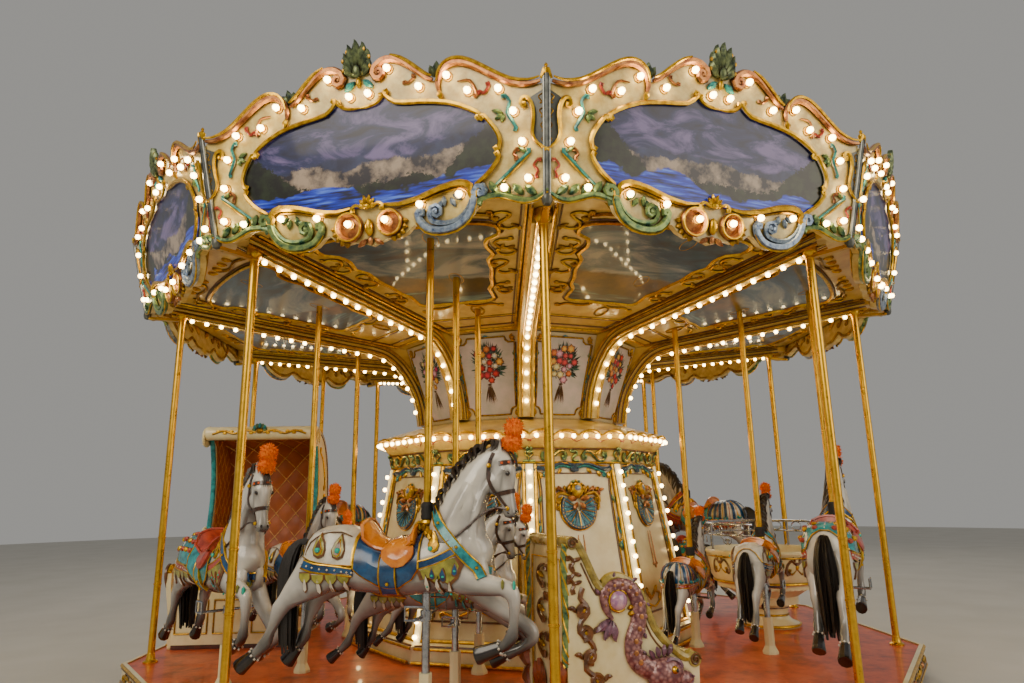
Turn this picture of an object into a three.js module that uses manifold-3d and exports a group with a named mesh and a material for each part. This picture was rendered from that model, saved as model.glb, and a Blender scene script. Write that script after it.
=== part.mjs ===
// A ten-sided fairground carousel: a fixed base and mast, and a turning assembly of floor,
// centre drum, sweeps, ceiling, rounding boards, roof, seats and rising horses.
// Millimetres, +Z up. Origin on the turning axis at ground level. Angles are counted from -Y,
// counter-clockwise seen from above, which is also the way the carousel turns.
import * as THREE from 'three';
import { mergeVertices } from 'three/addons/utils/BufferGeometryUtils.js';
import Module from 'manifold-3d';

const wasm = await Module();
wasm.setup();

// Driving dimensions
const SIDES = 10;
const STEP = (2 * Math.PI) / SIDES;
const GAP = 0.3;
const FLOOR_Z = 250;
const FLOOR_THICK = 60;
const FLOOR_R = 3675;
const FLOOR_INNER_R = 1500;
const FLOOR_SEGMENTS = 5;
const EDGE_WIDTH = 34;
const EDGE_DROP = 160;
const EDGE_RISE = 12;

// Rounding boards: corner radii of the outer face at two heights, which set their outward lean
const BOARD_LOW_R = 3800;
const BOARD_LOW_Z = 3352;
const BOARD_HIGH_R = 3968;
const BOARD_HIGH_Z = 4055;
const BOARD_THICK = 60;
const BOARD_CREST = 975;
const BOARD_FINIAL = 1130;

// Sweeps: box beams that rise outward, then curve down as pilasters on the drum's corners
const SWEEP_WIDTH = 140;
const SWEEP_DEPTH = 100;
const SWEEP_SLOPE = 0.145;
const SWEEP_BEND_R = 1680;
const SWEEP_BEND_Z = 3102;
const SWEEP_END_R = 3430;
const SWEEP_TIP_Z = 3419;
const PILASTER_R = 1142;
const PILASTER_DEPTH = 110;
const CEILING_THICK = 18;

// Centre drum, as corner radii
const DRUM_FOOT_R = 1740;
const DRUM_LOW_R = 1690;
const DRUM_NECK_R = 1408;
const DRUM_NECK_Z = 1905;
const CORNICE_R = 1560;
const CORNICE_Z = 2180;
const DRUM_HIGH_BOTTOM_R = 1050;
const DRUM_HIGH_BOTTOM_Z = 2340;
const DRUM_HIGH_TOP_R = 1330;
const DRUM_WALL = 30;

// Mast, base and roof
const MAST_R = 130;
const MAST_TOP = 3600;
const MAST_FOOT_R = 260;
const MAST_CONE_Z = 400;
const MAST_SIDES = 16;
const BASE_ARM_LENGTH = 2300;
const BASE_ARM_WIDTH = 120;
const BASE_HEIGHT = 80;
const BASE_DISC_R = 420;
const ROOF_EAVE_Z = 3960;
const ROOF_PEAK_Z = 4660;
const ROOF_THICK = 25;
const KING_POST_R = 60;

// Poles. Horse poles and their sleeves are octagonal, so that they guide each other closely
const POLE_R = 28;
const POLE_SIDES = 8;
const POLE_TOP_Z = 3750;
const SLIDE_GAP = 0.5;
const SLEEVE_R = 42;
const SLEEVE_HEIGHT = 300;
const SLEEVE_FOOT_R = 68;
const RIM_POLE_R = 35;
const RIM_POLE_RING = 3495;
const STRIP_WIDTH = 46;
const STRIP_THICK = 18;

// Horse rows: pole ring radius, horse scale, and the sections that carry one
const POLE_LEAD = THREE.MathUtils.degToRad(3.6);
const ROWS = [
  { name: 'outer', radius: 3078, scale: 1, sections: [1, 3, 4, 5, 6, 8, 9] },
  { name: 'middle', radius: 2451, scale: 0.75, sections: [1, 3, 4, 5, 6, 8, 9] },
  { name: 'inner', radius: 1805, scale: 0.7, sections: [1, 3, 5, 7, 9] },
];
// Height of each section's outer horse above mid-stroke at rest. The middle one is as far below
const SECTION_LIFT = [0, -60, 0, 80, -100, 40, 110, -50, -90, 0];
const ROW_PHASE = { outer: 1, middle: -1, inner: 1 };

// Seats: section, distance of the seat's centre line from the axis, and overall sizes
const CHARIOT = { section: 0, radius: 2630, halfWidth: 330, panel: 45 };
const CARRIAGE = { section: 7, radius: 2839, halfWidth: 580, panel: 45 };
const TUB = { section: 2, radius: 2600, rimR: 600, rimZ: 775, railZ: 1045 };

const COLOURS = {
  cream: [0xe9dcae, 0.35, 0],
  steel: [0x5a5f63, 0.5, 0.7],
  orangeFloor: [0xb4481c, 0.5, 0],
  gold: [0xc9962e, 0.3, 0.9],
  ivoryBoard: [0xe6d79a, 0.4, 0],
  horseWhite: [0xdad6c8, 0.25, 0],
  roofCream: [0xd9cfae, 0.6, 0],
};

function material(name) {
  const [color, roughness, metalness] = COLOURS[name];
  return new THREE.MeshStandardMaterial({ color, roughness, metalness });
}

const model = new THREE.Group();

function addMesh(name, geometry, colour, position = [0, 0, 0], turn = 0) {
  const mesh = new THREE.Mesh(geometry, material(colour));
  mesh.name = name;
  mesh.position.set(...position);
  mesh.rotation.z = turn;
  model.add(mesh);
  return mesh;
}

// Solids and joins

function positionsOnly(geometry) {
  const bare = geometry.clone();
  for (const key of Object.keys(bare.attributes)) {
    if (key !== 'position') bare.deleteAttribute(key);
  }
  return mergeVertices(bare, 1e-3);
}

function signedVolume(geometry) {
  const place = geometry.getAttribute('position');
  const index = geometry.getIndex();
  const [a, b, c] = [new THREE.Vector3(), new THREE.Vector3(), new THREE.Vector3()];
  let sum = 0;
  for (let i = 0; i < index.count; i += 3) {
    a.fromBufferAttribute(place, index.getX(i));
    b.fromBufferAttribute(place, index.getX(i + 1));
    c.fromBufferAttribute(place, index.getX(i + 2));
    sum += a.dot(b.cross(c)) / 6;
  }
  return sum;
}

// A closed geometry with merged vertices, no empty triangles, and its faces pointing out
function closed(geometry) {
  const bare = positionsOnly(geometry);
  const source = bare.getIndex().array;
  const kept = [];
  for (let i = 0; i < source.length; i += 3) {
    const [a, b, c] = [source[i], source[i + 1], source[i + 2]];
    if (a !== b && b !== c && c !== a) kept.push(a, b, c);
  }
  bare.setIndex(kept);
  if (signedVolume(bare) < 0) {
    for (let i = 0; i < kept.length; i += 3) [kept[i + 1], kept[i + 2]] = [kept[i + 2], kept[i + 1]];
    bare.setIndex(kept);
  }
  return bare;
}

function toSolid(geometry) {
  const shape = closed(geometry);
  const vertProperties = new Float32Array(shape.getAttribute('position').array);
  const triVerts = new Uint32Array(shape.getIndex().array);
  return new wasm.Manifold(new wasm.Mesh({ numProp: 3, vertProperties, triVerts }));
}

function fromSolid(solid) {
  const mesh = solid.getMesh();
  const geometry = new THREE.BufferGeometry();
  geometry.setAttribute('position', new THREE.BufferAttribute(new Float32Array(mesh.vertProperties), 3));
  geometry.setIndex(Array.from(mesh.triVerts));
  return geometry;
}

function join(geometries) {
  return geometries.map(toSolid).reduce((whole, piece) => whole.add(piece));
}

// Basic forms

// A body turned about +Z from a closed list of [radius, z], with its corners on the section lines
function turned(profile, sides = SIDES) {
  const points = profile.map(([r, z]) => new THREE.Vector2(r, z));
  if (profile[0][0] > 0) points.push(points[0].clone());
  const geometry = new THREE.LatheGeometry(points, sides);
  geometry.rotateX(Math.PI / 2);
  return closed(geometry);
}

// A plate cut from an outline of [x, z], upright in the XZ plane, centred on y = 0
function upright(outline, thick, y = 0) {
  const shape = new THREE.Shape(outline.map(([x, z]) => new THREE.Vector2(x, z)));
  const geometry = new THREE.ExtrudeGeometry(shape, { depth: thick, bevelEnabled: false });
  geometry.rotateX(Math.PI / 2);
  geometry.translate(0, y + thick / 2, 0);
  return closed(geometry);
}

function box(x0, x1, y0, y1, z0, z1) {
  const geometry = new THREE.BoxGeometry(x1 - x0, y1 - y0, z1 - z0);
  geometry.translate((x0 + x1) / 2, (y0 + y1) / 2, (z0 + z1) / 2);
  return closed(geometry);
}

// A round bar from z0 to z1, with its flats facing alike on every pole
function bar(radius, z0, z1, sides) {
  const geometry = new THREE.CylinderGeometry(radius, radius, z1 - z0, sides);
  geometry.rotateX(Math.PI / 2);
  geometry.translate(0, 0, (z0 + z1) / 2);
  return closed(geometry);
}

// A limb lofted through stations [x, z, half depth, half width] in the XZ plane, at y
function limb(stations, sides, y = 0) {
  const rings = stations.length - 1;
  const geometry = positionsOnly(new THREE.CylinderGeometry(1, 1, rings, sides, rings));
  const place = geometry.getAttribute('position');
  const point = new THREE.Vector3();
  for (let i = 0; i < place.count; i += 1) {
    point.fromBufferAttribute(place, i);
    const ring = Math.round(rings / 2 - point.y);
    const [x, z, depth, width] = stations[ring];
    const before = stations[Math.max(ring - 1, 0)];
    const after = stations[Math.min(ring + 1, rings)];
    const along = new THREE.Vector2(after[0] - before[0], after[1] - before[1]).normalize();
    place.setXYZ(
      i,
      x - along.y * depth * point.x,
      y + width * point.z,
      z + along.x * depth * point.x,
    );
  }
  return closed(geometry);
}

// Points of an outline, with smooth stretches: each entry is a corner, or a list run through a curve
function outlineOf(parts, stepsPerPoint = 2) {
  const points = [];
  for (const part of parts) {
    if (typeof part[0] === 'number') {
      points.push(part);
    } else {
      const curve = new THREE.SplineCurve(part.map(([x, y]) => new THREE.Vector2(x, y)));
      const count = (part.length - 1) * stepsPerPoint;
      for (const p of curve.getPoints(count)) points.push([p.x, p.y]);
    }
  }
  return points;
}

function ringPoint(radius, angle, z = 0) {
  return [radius * Math.sin(angle), -radius * Math.cos(angle), z];
}

function sectionAngle(section) {
  return STEP * (section + 0.5);
}

const sweepUnder = (r) => SWEEP_BEND_Z + SWEEP_SLOPE * (r - SWEEP_BEND_R);
const sweepTop = (r) => sweepUnder(r) + SWEEP_DEPTH;
const boardLean = (BOARD_HIGH_R - BOARD_LOW_R) / (BOARD_HIGH_Z - BOARD_LOW_Z);
const halfStep = STEP / 2;
const boardTilt = Math.atan(boardLean * Math.cos(halfStep));
const boardInset = BOARD_THICK / Math.cos(boardTilt) / Math.cos(halfStep);
// Corner radius of the boards' inner faces at a height
const boardInnerR = (z) => BOARD_LOW_R + boardLean * (z - BOARD_LOW_Z) - boardInset;

// Fixed base and mast

function buildBase() {
  const half = BASE_ARM_WIDTH / 2;
  const pieces = [turned([[0, 0], [BASE_DISC_R, 0], [BASE_DISC_R, BASE_HEIGHT], [0, BASE_HEIGHT]])];
  for (let k = 0; k < SIDES / 2; k += 1) {
    const arm = box(-BASE_ARM_LENGTH, BASE_ARM_LENGTH, -half, half, 0, BASE_HEIGHT);
    arm.rotateZ(STEP * k + Math.PI / 2);
    pieces.push(arm);
  }
  addMesh('base_frame', fromSolid(join(pieces)), 'steel');

  const low = BASE_HEIGHT + GAP;
  const mast = [
    [0, low], [MAST_FOOT_R, low], [MAST_FOOT_R, low + 40],
    [MAST_R, MAST_CONE_Z], [MAST_R, MAST_TOP], [0, MAST_TOP],
  ];
  addMesh('mast', turned(mast, MAST_SIDES), 'steel');
}

// Floor plate with its pole sleeves, in segments of two sections, and the edge board around it

function horsePlaces() {
  const places = [];
  for (const row of ROWS) {
    for (const section of row.sections) {
      const angle = sectionAngle(section) + POLE_LEAD;
      places.push({ row, section, angle, lift: SECTION_LIFT[section] * ROW_PHASE[row.name] });
    }
  }
  return places;
}

function atPlace(geometry, place) {
  geometry.rotateZ(place.angle);
  geometry.translate(...ringPoint(place.row.radius, place.angle));
  return geometry;
}

function buildFloor() {
  const low = FLOOR_Z - FLOOR_THICK;
  const plate = [[FLOOR_INNER_R, low], [FLOOR_R, low], [FLOOR_R, FLOOR_Z], [FLOOR_INNER_R, FLOOR_Z]];
  let floor = toSolid(turned(plate));
  const top = FLOOR_Z + SLEEVE_HEIGHT;
  for (const place of horsePlaces()) {
    const sleeve = turned([
      [0, low + 10], [SLEEVE_FOOT_R, low + 10], [SLEEVE_FOOT_R, FLOOR_Z + 20],
      [SLEEVE_R, FLOOR_Z + 70], [SLEEVE_R, top], [0, top],
    ], POLE_SIDES);
    floor = floor.add(toSolid(atPlace(sleeve, place)));
  }
  for (const place of horsePlaces()) {
    const bore = bar(POLE_R + SLIDE_GAP, low - 10, top + 10, POLE_SIDES);
    floor = floor.subtract(toSolid(atPlace(bore, place)));
  }
  for (let k = 0; k < FLOOR_SEGMENTS; k += 1) {
    const segment = floor.intersect(toSolid(wedge(k)));
    addMesh(`floor_segment_${k}`, fromSolid(segment), 'orangeFloor');
  }

  const [inner, outer] = [FLOOR_R + GAP, FLOOR_R + GAP + EDGE_WIDTH];
  const [edgeLow, edgeHigh] = [FLOOR_Z - EDGE_DROP, FLOOR_Z + EDGE_RISE];
  const edge = [[inner, edgeLow], [outer, edgeLow], [outer, edgeHigh], [inner, edgeHigh]];
  addMesh('floor_edge', turned(edge), 'cream');
}

// The space of one floor segment, a seam's gap short of its neighbours
function wedge(k) {
  const half = Math.PI / FLOOR_SEGMENTS;
  const start = GAP / 2 / Math.sin(half);
  const reach = 1.3 * FLOOR_R;
  const shape = new THREE.Shape([
    new THREE.Vector2(start, 0),
    new THREE.Vector2(start + reach * Math.cos(half), -reach * Math.sin(half)),
    new THREE.Vector2(start + reach * Math.cos(half), reach * Math.sin(half)),
  ]);
  const depth = 2 * FLOOR_Z + SLEEVE_HEIGHT;
  const geometry = new THREE.ExtrudeGeometry(shape, { depth, bevelEnabled: false });
  geometry.rotateZ((2 * k + 1) * half - Math.PI / 2);
  return geometry;
}

// Centre drum in three storeys

function buildDrum() {
  const wall = DRUM_WALL;
  const foot = FLOOR_Z + GAP;
  addMesh('lower_drum', turned([
    [DRUM_FOOT_R, foot], [DRUM_FOOT_R, foot + 140], [DRUM_LOW_R - 30, foot + 175],
    [DRUM_NECK_R, DRUM_NECK_Z], [DRUM_NECK_R - wall, DRUM_NECK_Z],
    [DRUM_LOW_R - 30 - wall, foot + 160], [DRUM_LOW_R - 30 - wall, foot],
  ]), 'cream');

  const base = DRUM_NECK_Z + GAP;
  const crown = DRUM_HIGH_BOTTOM_Z - GAP;
  addMesh('drum_cornice', turned([
    [DRUM_NECK_R + 12, base], [DRUM_NECK_R + 12, base + 60], [DRUM_NECK_R + 40, base + 130],
    [CORNICE_R, CORNICE_Z - 20], [CORNICE_R, CORNICE_Z + 15], [DRUM_HIGH_BOTTOM_R + 20, crown],
    [DRUM_HIGH_BOTTOM_R - wall, crown], [CORNICE_R - 100, CORNICE_Z - 20],
    [DRUM_NECK_R - 25, base + 90], [DRUM_NECK_R - 25, base],
  ]), 'cream');
  addMesh('upper_drum', turned(upperDrumProfile(0)), 'cream');
}

function upperDrumProfile(grow) {
  const low = DRUM_HIGH_BOTTOM_Z;
  const high = sweepTop(DRUM_HIGH_TOP_R) - 2;
  return [
    [DRUM_HIGH_BOTTOM_R + grow, low - grow], [DRUM_HIGH_TOP_R + grow, high + grow],
    [DRUM_HIGH_TOP_R - DRUM_WALL - grow, high + grow], [DRUM_HIGH_BOTTOM_R - DRUM_WALL - grow, low - grow],
  ];
}

// Sweeps, hub and ceiling

function sweepOutline() {
  const tip = boardInnerR(SWEEP_TIP_Z) - (SWEEP_WIDTH / 2) * Math.tan(halfStep) - 2 * GAP;
  const inner = PILASTER_R - PILASTER_DEPTH;
  const foot = DRUM_HIGH_BOTTOM_Z + 8;
  const armLow = sweepTop(DRUM_HIGH_TOP_R) + 6;
  const armInnerR = MAST_R + 40;
  return outlineOf([
    [armInnerR, armLow], [armInnerR, armLow + 120], [DRUM_HIGH_TOP_R - 60, armLow + 120],
    [SWEEP_BEND_R, sweepTop(SWEEP_BEND_R)], [tip, sweepTop(tip)], [tip, SWEEP_TIP_Z],
    [SWEEP_END_R, SWEEP_TIP_Z], [SWEEP_END_R, sweepUnder(SWEEP_END_R)],
    [
      [SWEEP_BEND_R, SWEEP_BEND_Z], [1528, 3058], [1414, 2974], [1330, 2873],
      [1256, 2757], [1199, 2631], [1163, 2498], [PILASTER_R, foot],
    ],
    [inner, foot], [inner, 2600], [DRUM_HIGH_TOP_R - 90, armLow - 60], [DRUM_HIGH_TOP_R - 120, armLow],
  ], 1);
}

function buildSweeps() {
  const hubLow = MAST_TOP - 620;
  const hubTop = MAST_TOP + 80;
  const kingPostTop = ROOF_PEAK_Z - ROOF_THICK - 60;
  const bore = MAST_R / Math.cos(Math.PI / MAST_SIDES) + 1.5;
  const hubR = MAST_R + 60;
  const hub = turned([
    [0, MAST_TOP + GAP], [bore, MAST_TOP + GAP], [bore, hubLow], [hubR, hubLow],
    [hubR, hubTop], [KING_POST_R, hubTop], [KING_POST_R, kingPostTop], [0, kingPostTop],
  ], MAST_SIDES);
  let frame = toSolid(hub);
  for (let k = 0; k < SIDES; k += 1) {
    const sweep = upright(sweepOutline(), SWEEP_WIDTH);
    sweep.rotateZ(STEP * k - Math.PI / 2);
    frame = frame.add(toSolid(sweep));
  }
  const drum = upperDrumProfile(GAP);
  const core = [[0, drum[0][1]], drum[0], drum[1], [0, drum[1][1]]];
  const under = toSolid(turned(core));
  frame = frame.subtract(under);
  addMesh('sweep_frame', fromSolid(frame), 'cream');
}

function buildCeiling() {
  const innerR = DRUM_HIGH_TOP_R + 20;
  const seat = (r) => sweepTop(r) + GAP;
  let outerR = boardInnerR(seat(BOARD_LOW_R)) - 2 * GAP;
  outerR = boardInnerR(seat(outerR)) - 2 * GAP;
  const plate = [
    [innerR, seat(innerR)], [outerR, seat(outerR)],
    [outerR, seat(outerR) + CEILING_THICK], [innerR, seat(innerR) + CEILING_THICK],
  ];
  let ceiling = toSolid(turned(plate));
  const slotHalf = SWEEP_WIDTH / 2 + 1;
  for (let k = 0; k < SIDES; k += 1) {
    const slot = box(DRUM_HIGH_TOP_R - 100, DRUM_HIGH_TOP_R + 400, -slotHalf, slotHalf, 3000, 3500);
    slot.rotateZ(STEP * k - Math.PI / 2);
    ceiling = ceiling.subtract(toSolid(slot));
  }
  for (const place of horsePlaces()) {
    const hole = bar(POLE_R + SLIDE_GAP, SWEEP_BEND_Z, MAST_TOP + 100, POLE_SIDES);
    ceiling = ceiling.subtract(toSolid(atPlace(hole, place)));
  }
  addMesh('ceiling', fromSolid(ceiling), 'cream');
}

// Rounding boards with a swan-neck crest and a scalloped hem, corner posts and roof

function boardOutline() {
  const lowHalf = BOARD_LOW_R * Math.sin(halfStep);
  const lean = boardLean * Math.sin(halfStep);
  const cut = BOARD_THICK * Math.tan(halfStep) + 2;
  const side = (v) => lowHalf + lean * v - cut;
  const right = outlineOf([
    [[side(30), 30], [1020, 8], [890, 40], [760, 55]],
    [[690, 5], [600, -80], [490, -118], [380, -112]],
    [[330, -60], [190, -112], [0, -140]],
  ], 1);
  const crest = outlineOf([
    [[0, BOARD_FINIAL], [110, 1060], [190, 985]],
    [[300, 1005], [420, BOARD_CREST], [505, 880]],
    [[620, 940], [760, 890], [900, 815]],
    [[1020, 725], [side(700), 700]],
  ], 1);
  const left = right.slice(0, -1).reverse().map(([u, v]) => [-u, v]);
  const crestLeft = crest.slice(1).reverse().map(([u, v]) => [-u, v]);
  return [...right, ...left, ...crestLeft, ...crest];
}

function buildBoards() {
  const apothem = BOARD_LOW_R * Math.cos(halfStep);
  for (let s = 0; s < SIDES; s += 1) {
    const board = upright(boardOutline(), BOARD_THICK, BOARD_THICK / 2);
    board.rotateX(boardTilt);
    board.translate(0, -apothem, BOARD_LOW_Z);
    board.rotateZ(sectionAngle(s));
    addMesh(`rounding_board_${s}`, board, 'ivoryBoard');
  }
}

function buildRimPoles() {
  const capLow = SWEEP_TIP_Z - 70;
  const top = SWEEP_TIP_Z - GAP;
  const stripLow = BOARD_LOW_Z - 40;
  const stripR = (z) => BOARD_LOW_R + boardLean * (z - BOARD_LOW_Z) + 2;
  const strip = [
    [stripR(stripLow), stripLow], [stripR(stripLow) + STRIP_THICK, stripLow],
    [stripR(BOARD_HIGH_Z) + STRIP_THICK, BOARD_HIGH_Z + 25], [stripR(BOARD_HIGH_Z), BOARD_HIGH_Z + 25],
  ];
  const arm = [
    [RIM_POLE_RING, stripLow], [stripR(stripLow) + STRIP_THICK, stripLow],
    [stripR(stripLow) + STRIP_THICK, stripLow + 26], [RIM_POLE_RING, stripLow + 26],
  ];
  for (let k = 0; k < SIDES; k += 1) {
    const foot = FLOOR_Z + GAP;
    const pole = turned([
      [0, foot], [62, foot], [62, foot + 14], [RIM_POLE_R, foot + 40], [RIM_POLE_R, capLow],
      [56, capLow + 20], [56, top], [0, top],
    ], 8);
    pole.translate(RIM_POLE_RING, 0, 0);
    const post = join([pole, upright(strip, STRIP_WIDTH), upright(arm, STRIP_WIDTH)]);
    const geometry = fromSolid(post);
    geometry.rotateZ(STEP * k - Math.PI / 2);
    addMesh(`rim_pole_${k}`, geometry, 'gold');
  }
}

function buildRoof() {
  const eave = boardInnerR(ROOF_EAVE_Z - 40) - 2 * GAP;
  addMesh('roof', turned([
    [0, ROOF_PEAK_Z], [eave - 14, ROOF_EAVE_Z + 8], [eave, ROOF_EAVE_Z - 40], [eave - 60, ROOF_EAVE_Z - 40],
    [eave - 80, ROOF_EAVE_Z - ROOF_THICK], [62, ROOF_PEAK_Z - ROOF_THICK - 12],
    [62, ROOF_PEAK_Z - ROOF_THICK - 59], [0, ROOF_PEAK_Z - ROOF_THICK - 59],
  ]), 'roofCream');
}

// Horses: x is forward, z is height above the floor at mid-stroke, at full scale

const HORSE = {
  barrel: [
    [-810, 965, 80, 74], [-735, 988, 176, 156], [-540, 1000, 200, 195], [-180, 938, 188, 195],
    [200, 1000, 212, 160], [398, 1010, 104, 86],
  ],
  neck: [[190, 1090, 205, 122], [300, 1330, 148, 88], [480, 1610, 84, 54]],
  head: [[462, 1640, 62, 50], [528, 1450, 90, 60], [568, 1262, 48, 42]],
  plume: [[520, 1590, 26, 26], [575, 1715, 66, 64], [590, 1835, 42, 40]],
  foreRight: [[230, 860, 112, 66], [585, 812, 56, 46], [588, 555, 42, 38], [380, 422, 52, 46]],
  foreLeft: [[240, 840, 112, 66], [640, 560, 54, 46], [608, 478, 38, 36], [440, 392, 50, 46]],
  hindRight: [[-650, 960, 156, 86], [-940, 680, 58, 48], [-1045, 465, 40, 38], [-1205, 308, 52, 48]],
  hindLeft: [[-620, 950, 156, 86], [-825, 675, 58, 48], [-868, 475, 40, 38], [-965, 328, 52, 48]],
  tail: [[-760, 1120, 40, 38], [-905, 1050, 58, 48], [-895, 620, 34, 32]],
};
const LEG_SPREAD = 95;

function horseGeometry(scale, lift) {
  const pieces = [
    limb(HORSE.barrel, 6),
    limb(HORSE.neck, 4),
    limb(HORSE.head, 4),
    limb(HORSE.plume, 4),
    limb(HORSE.foreRight, 4, -LEG_SPREAD),
    limb(HORSE.foreLeft, 4, LEG_SPREAD),
    limb(HORSE.hindRight, 4, -LEG_SPREAD),
    limb(HORSE.hindLeft, 4, LEG_SPREAD),
    limb(HORSE.tail, 4),
  ];
  for (const piece of pieces) piece.scale(scale, scale, scale);
  const pole = bar(POLE_R, 0, POLE_TOP_Z - FLOOR_Z, POLE_SIDES);
  const geometry = fromSolid(join([...pieces, pole]));
  geometry.translate(0, 0, FLOOR_Z + lift);
  return geometry;
}

function buildHorses() {
  for (const place of horsePlaces()) {
    const geometry = horseGeometry(place.row.scale, place.lift);
    const position = ringPoint(place.row.radius, place.angle);
    addMesh(`horse_${place.row.name}_${place.section}`, geometry, 'horseWhite', position, place.angle);
  }
}

// Seats: x is forward, y is towards the axis, z is height above the floor

function placeSeat(name, solid, seat, colour) {
  const angle = sectionAngle(seat.section);
  addMesh(name, fromSolid(solid), colour, ringPoint(seat.radius, angle, FLOOR_Z + GAP), angle);
}

function buildChariot() {
  const { halfWidth, panel } = CHARIOT;
  const side = outlineOf([
    [-840, 0], [-850, 430],
    [[-832, 700], [-840, 960], [-825, 1075], [-750, 1080], [-705, 985], [-602, 786]],
    [[-540, 832], [-457, 841], [-350, 780], [-288, 698], [-215, 517], [-100, 390], [5, 317]],
    [[70, 345], [115, 320], [108, 260]],
    [100, 0],
  ], 1);
  const back = [[-815, 30], [-810, 1020], [-770, 1020], [-730, 420], [-730, 30]];
  const pieces = [
    upright(side, panel, halfWidth - panel / 2),
    upright(side, panel, -halfWidth + panel / 2),
    upright(back, 2 * halfWidth - panel),
    box(-780, -340, -halfWidth + 20, halfWidth - 20, 60, 430),
    box(-820, 90, -halfWidth + 20, halfWidth - 20, 0, 70),
    box(50, 92, -halfWidth + 20, halfWidth - 20, 0, 250),
  ];
  placeSeat('chariot', join(pieces), CHARIOT, 'cream');
}

function buildCarriage() {
  const { halfWidth, panel } = CARRIAGE;
  const spine = [[-640, 60], [-715, 700], [-735, 1250], [-660, 1720], [-470, 2010], [-200, 2120], [20, 2135]];
  const outer = outlineOf([spine], 1);
  const inner = outer.map(([x, z], i) => {
    const narrowing = Math.min(1, (outer.length - i) / 4);
    return [x + panel * narrowing, z - (i > 3 ? panel : 0)];
  });
  const shell = [...outer, [60, 2075], [20, 2040], ...inner.slice(0, -1).reverse()];
  const side = outlineOf([
    outer,
    [[40, 2090], [-90, 1960], [-190, 1600], [-190, 1250], [-110, 900], [60, 690], [250, 620]],
    [[420, 660], [620, 760], [700, 700], [690, 560], [600, 300], [560, 0]],
    [-600, 0],
  ], 1);
  const inside = halfWidth - panel + 5;
  const pieces = [
    upright(side, panel, halfWidth - panel / 2),
    upright(side, panel, -halfWidth + panel / 2),
    upright(shell, 2 * inside),
    box(-660, -120, -inside, inside, 60, 440),
    box(-610, 580, -inside, inside, 0, 70),
    box(535, 590, -inside, inside, 0, 540),
  ];
  placeSeat('hooded_carriage', join(pieces), CARRIAGE, 'cream');
}

function buildTub() {
  const { rimR, rimZ, railZ } = TUB;
  const wall = 35;
  const cup = turned([
    [0, 0], [300, 0], [300, 40], [190, 90], [240, 250], [rimR - 50, 480], [rimR, rimZ],
    [rimR - wall, rimZ], [rimR - 85, 480], [rimR - 95, 430], [320, 430], [300, 230], [0, 230],
  ], 12);
  placeSeat('round_tub', toSolid(cup), TUB, 'cream');

  const railR = rimR - wall / 2;
  const arc = new THREE.CatmullRomCurve3([...Array(9).keys()].map((i) => {
    const angle = THREE.MathUtils.degToRad(-150 + (300 * i) / 8);
    return new THREE.Vector3(...ringPoint(railR, angle - Math.PI / 2, railZ));
  }));
  const tube = new THREE.Shape();
  tube.absarc(0, 0, 14, 0, Math.PI * 2);
  const sweep = { extrudePath: arc, steps: 16, curveSegments: 3, bevelEnabled: false };
  const pieces = [closed(new THREE.ExtrudeGeometry(tube, sweep))];
  for (let i = 0; i < 7; i += 1) {
    const angle = THREE.MathUtils.degToRad(-147 + (294 * i) / 6) - Math.PI / 2;
    const post = bar(11, rimZ + GAP, railZ, 6);
    post.translate(...ringPoint(railR, angle));
    pieces.push(post);
  }
  placeSeat('tub_rail', join(pieces), TUB, 'gold');
}

buildBase();
buildFloor();
buildDrum();
buildSweeps();
buildCeiling();
buildBoards();
buildRimPoles();
buildRoof();
buildChariot();
buildCarriage();
buildTub();
buildHorses();

export default model;
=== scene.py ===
# A ten-sided fairground carousel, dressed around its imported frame.
# Shapes are worked out in millimetres and scaled to metres as each mesh is made.
# Angles are counted from -Y, counter-clockwise from above, as in the frame.
import math
import random

import bpy
import numpy as np
from mathutils import Matrix, Vector
from mathutils.bvhtree import BVHTree
from mathutils.geometry import tessellate_polygon


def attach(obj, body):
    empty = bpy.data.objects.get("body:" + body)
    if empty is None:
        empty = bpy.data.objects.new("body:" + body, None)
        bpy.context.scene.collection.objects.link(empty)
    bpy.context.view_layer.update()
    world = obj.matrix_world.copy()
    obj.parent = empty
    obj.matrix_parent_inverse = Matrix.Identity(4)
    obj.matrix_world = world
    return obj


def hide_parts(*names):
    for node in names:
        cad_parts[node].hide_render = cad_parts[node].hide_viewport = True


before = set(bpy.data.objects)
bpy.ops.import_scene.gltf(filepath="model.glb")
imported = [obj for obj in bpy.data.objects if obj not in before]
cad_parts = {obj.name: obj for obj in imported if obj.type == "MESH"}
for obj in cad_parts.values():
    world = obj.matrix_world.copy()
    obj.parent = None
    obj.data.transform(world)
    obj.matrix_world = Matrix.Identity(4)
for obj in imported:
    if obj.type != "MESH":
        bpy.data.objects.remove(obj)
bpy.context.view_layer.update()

MM = 0.001
SIDES = 10
STEP = 2 * math.pi / SIDES
HALF = STEP / 2
FLOOR_TOP = 250

# Rounding boards: corner radii and heights of the outer face
BOARD_LOW = (3800, 3352)
BOARD_HIGH = (3968, 4055)

# Sweeps: straight underside, then the bulb line down the pilaster
SWEEP_BEND = (1680, 3102)
SWEEP_SLOPE = 0.145
SWEEP_TIP_R = 3600
SWEEP_HALF = 70
SWEEP_CURVE = [(1528, 3058), (1414, 2974), (1330, 2873), (1256, 2757), (1199, 2631), (1163, 2498),
               (1142, 2350)]

# Centre drum: corner radii and heights of each storey
DRUM_LOW = (1660, 425)
DRUM_NECK = (1408, 1905)
CORNICE = (1560, 2180)
UPPER_LOW = (1050, 2340)
UPPER_HIGH = (1330, 3145)
EDGE_LOW = (3714, 90)
EDGE_HIGH = (3714, 262)
ROOF_PEAK = 4660
ROOF_FALL = 0.18

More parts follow.
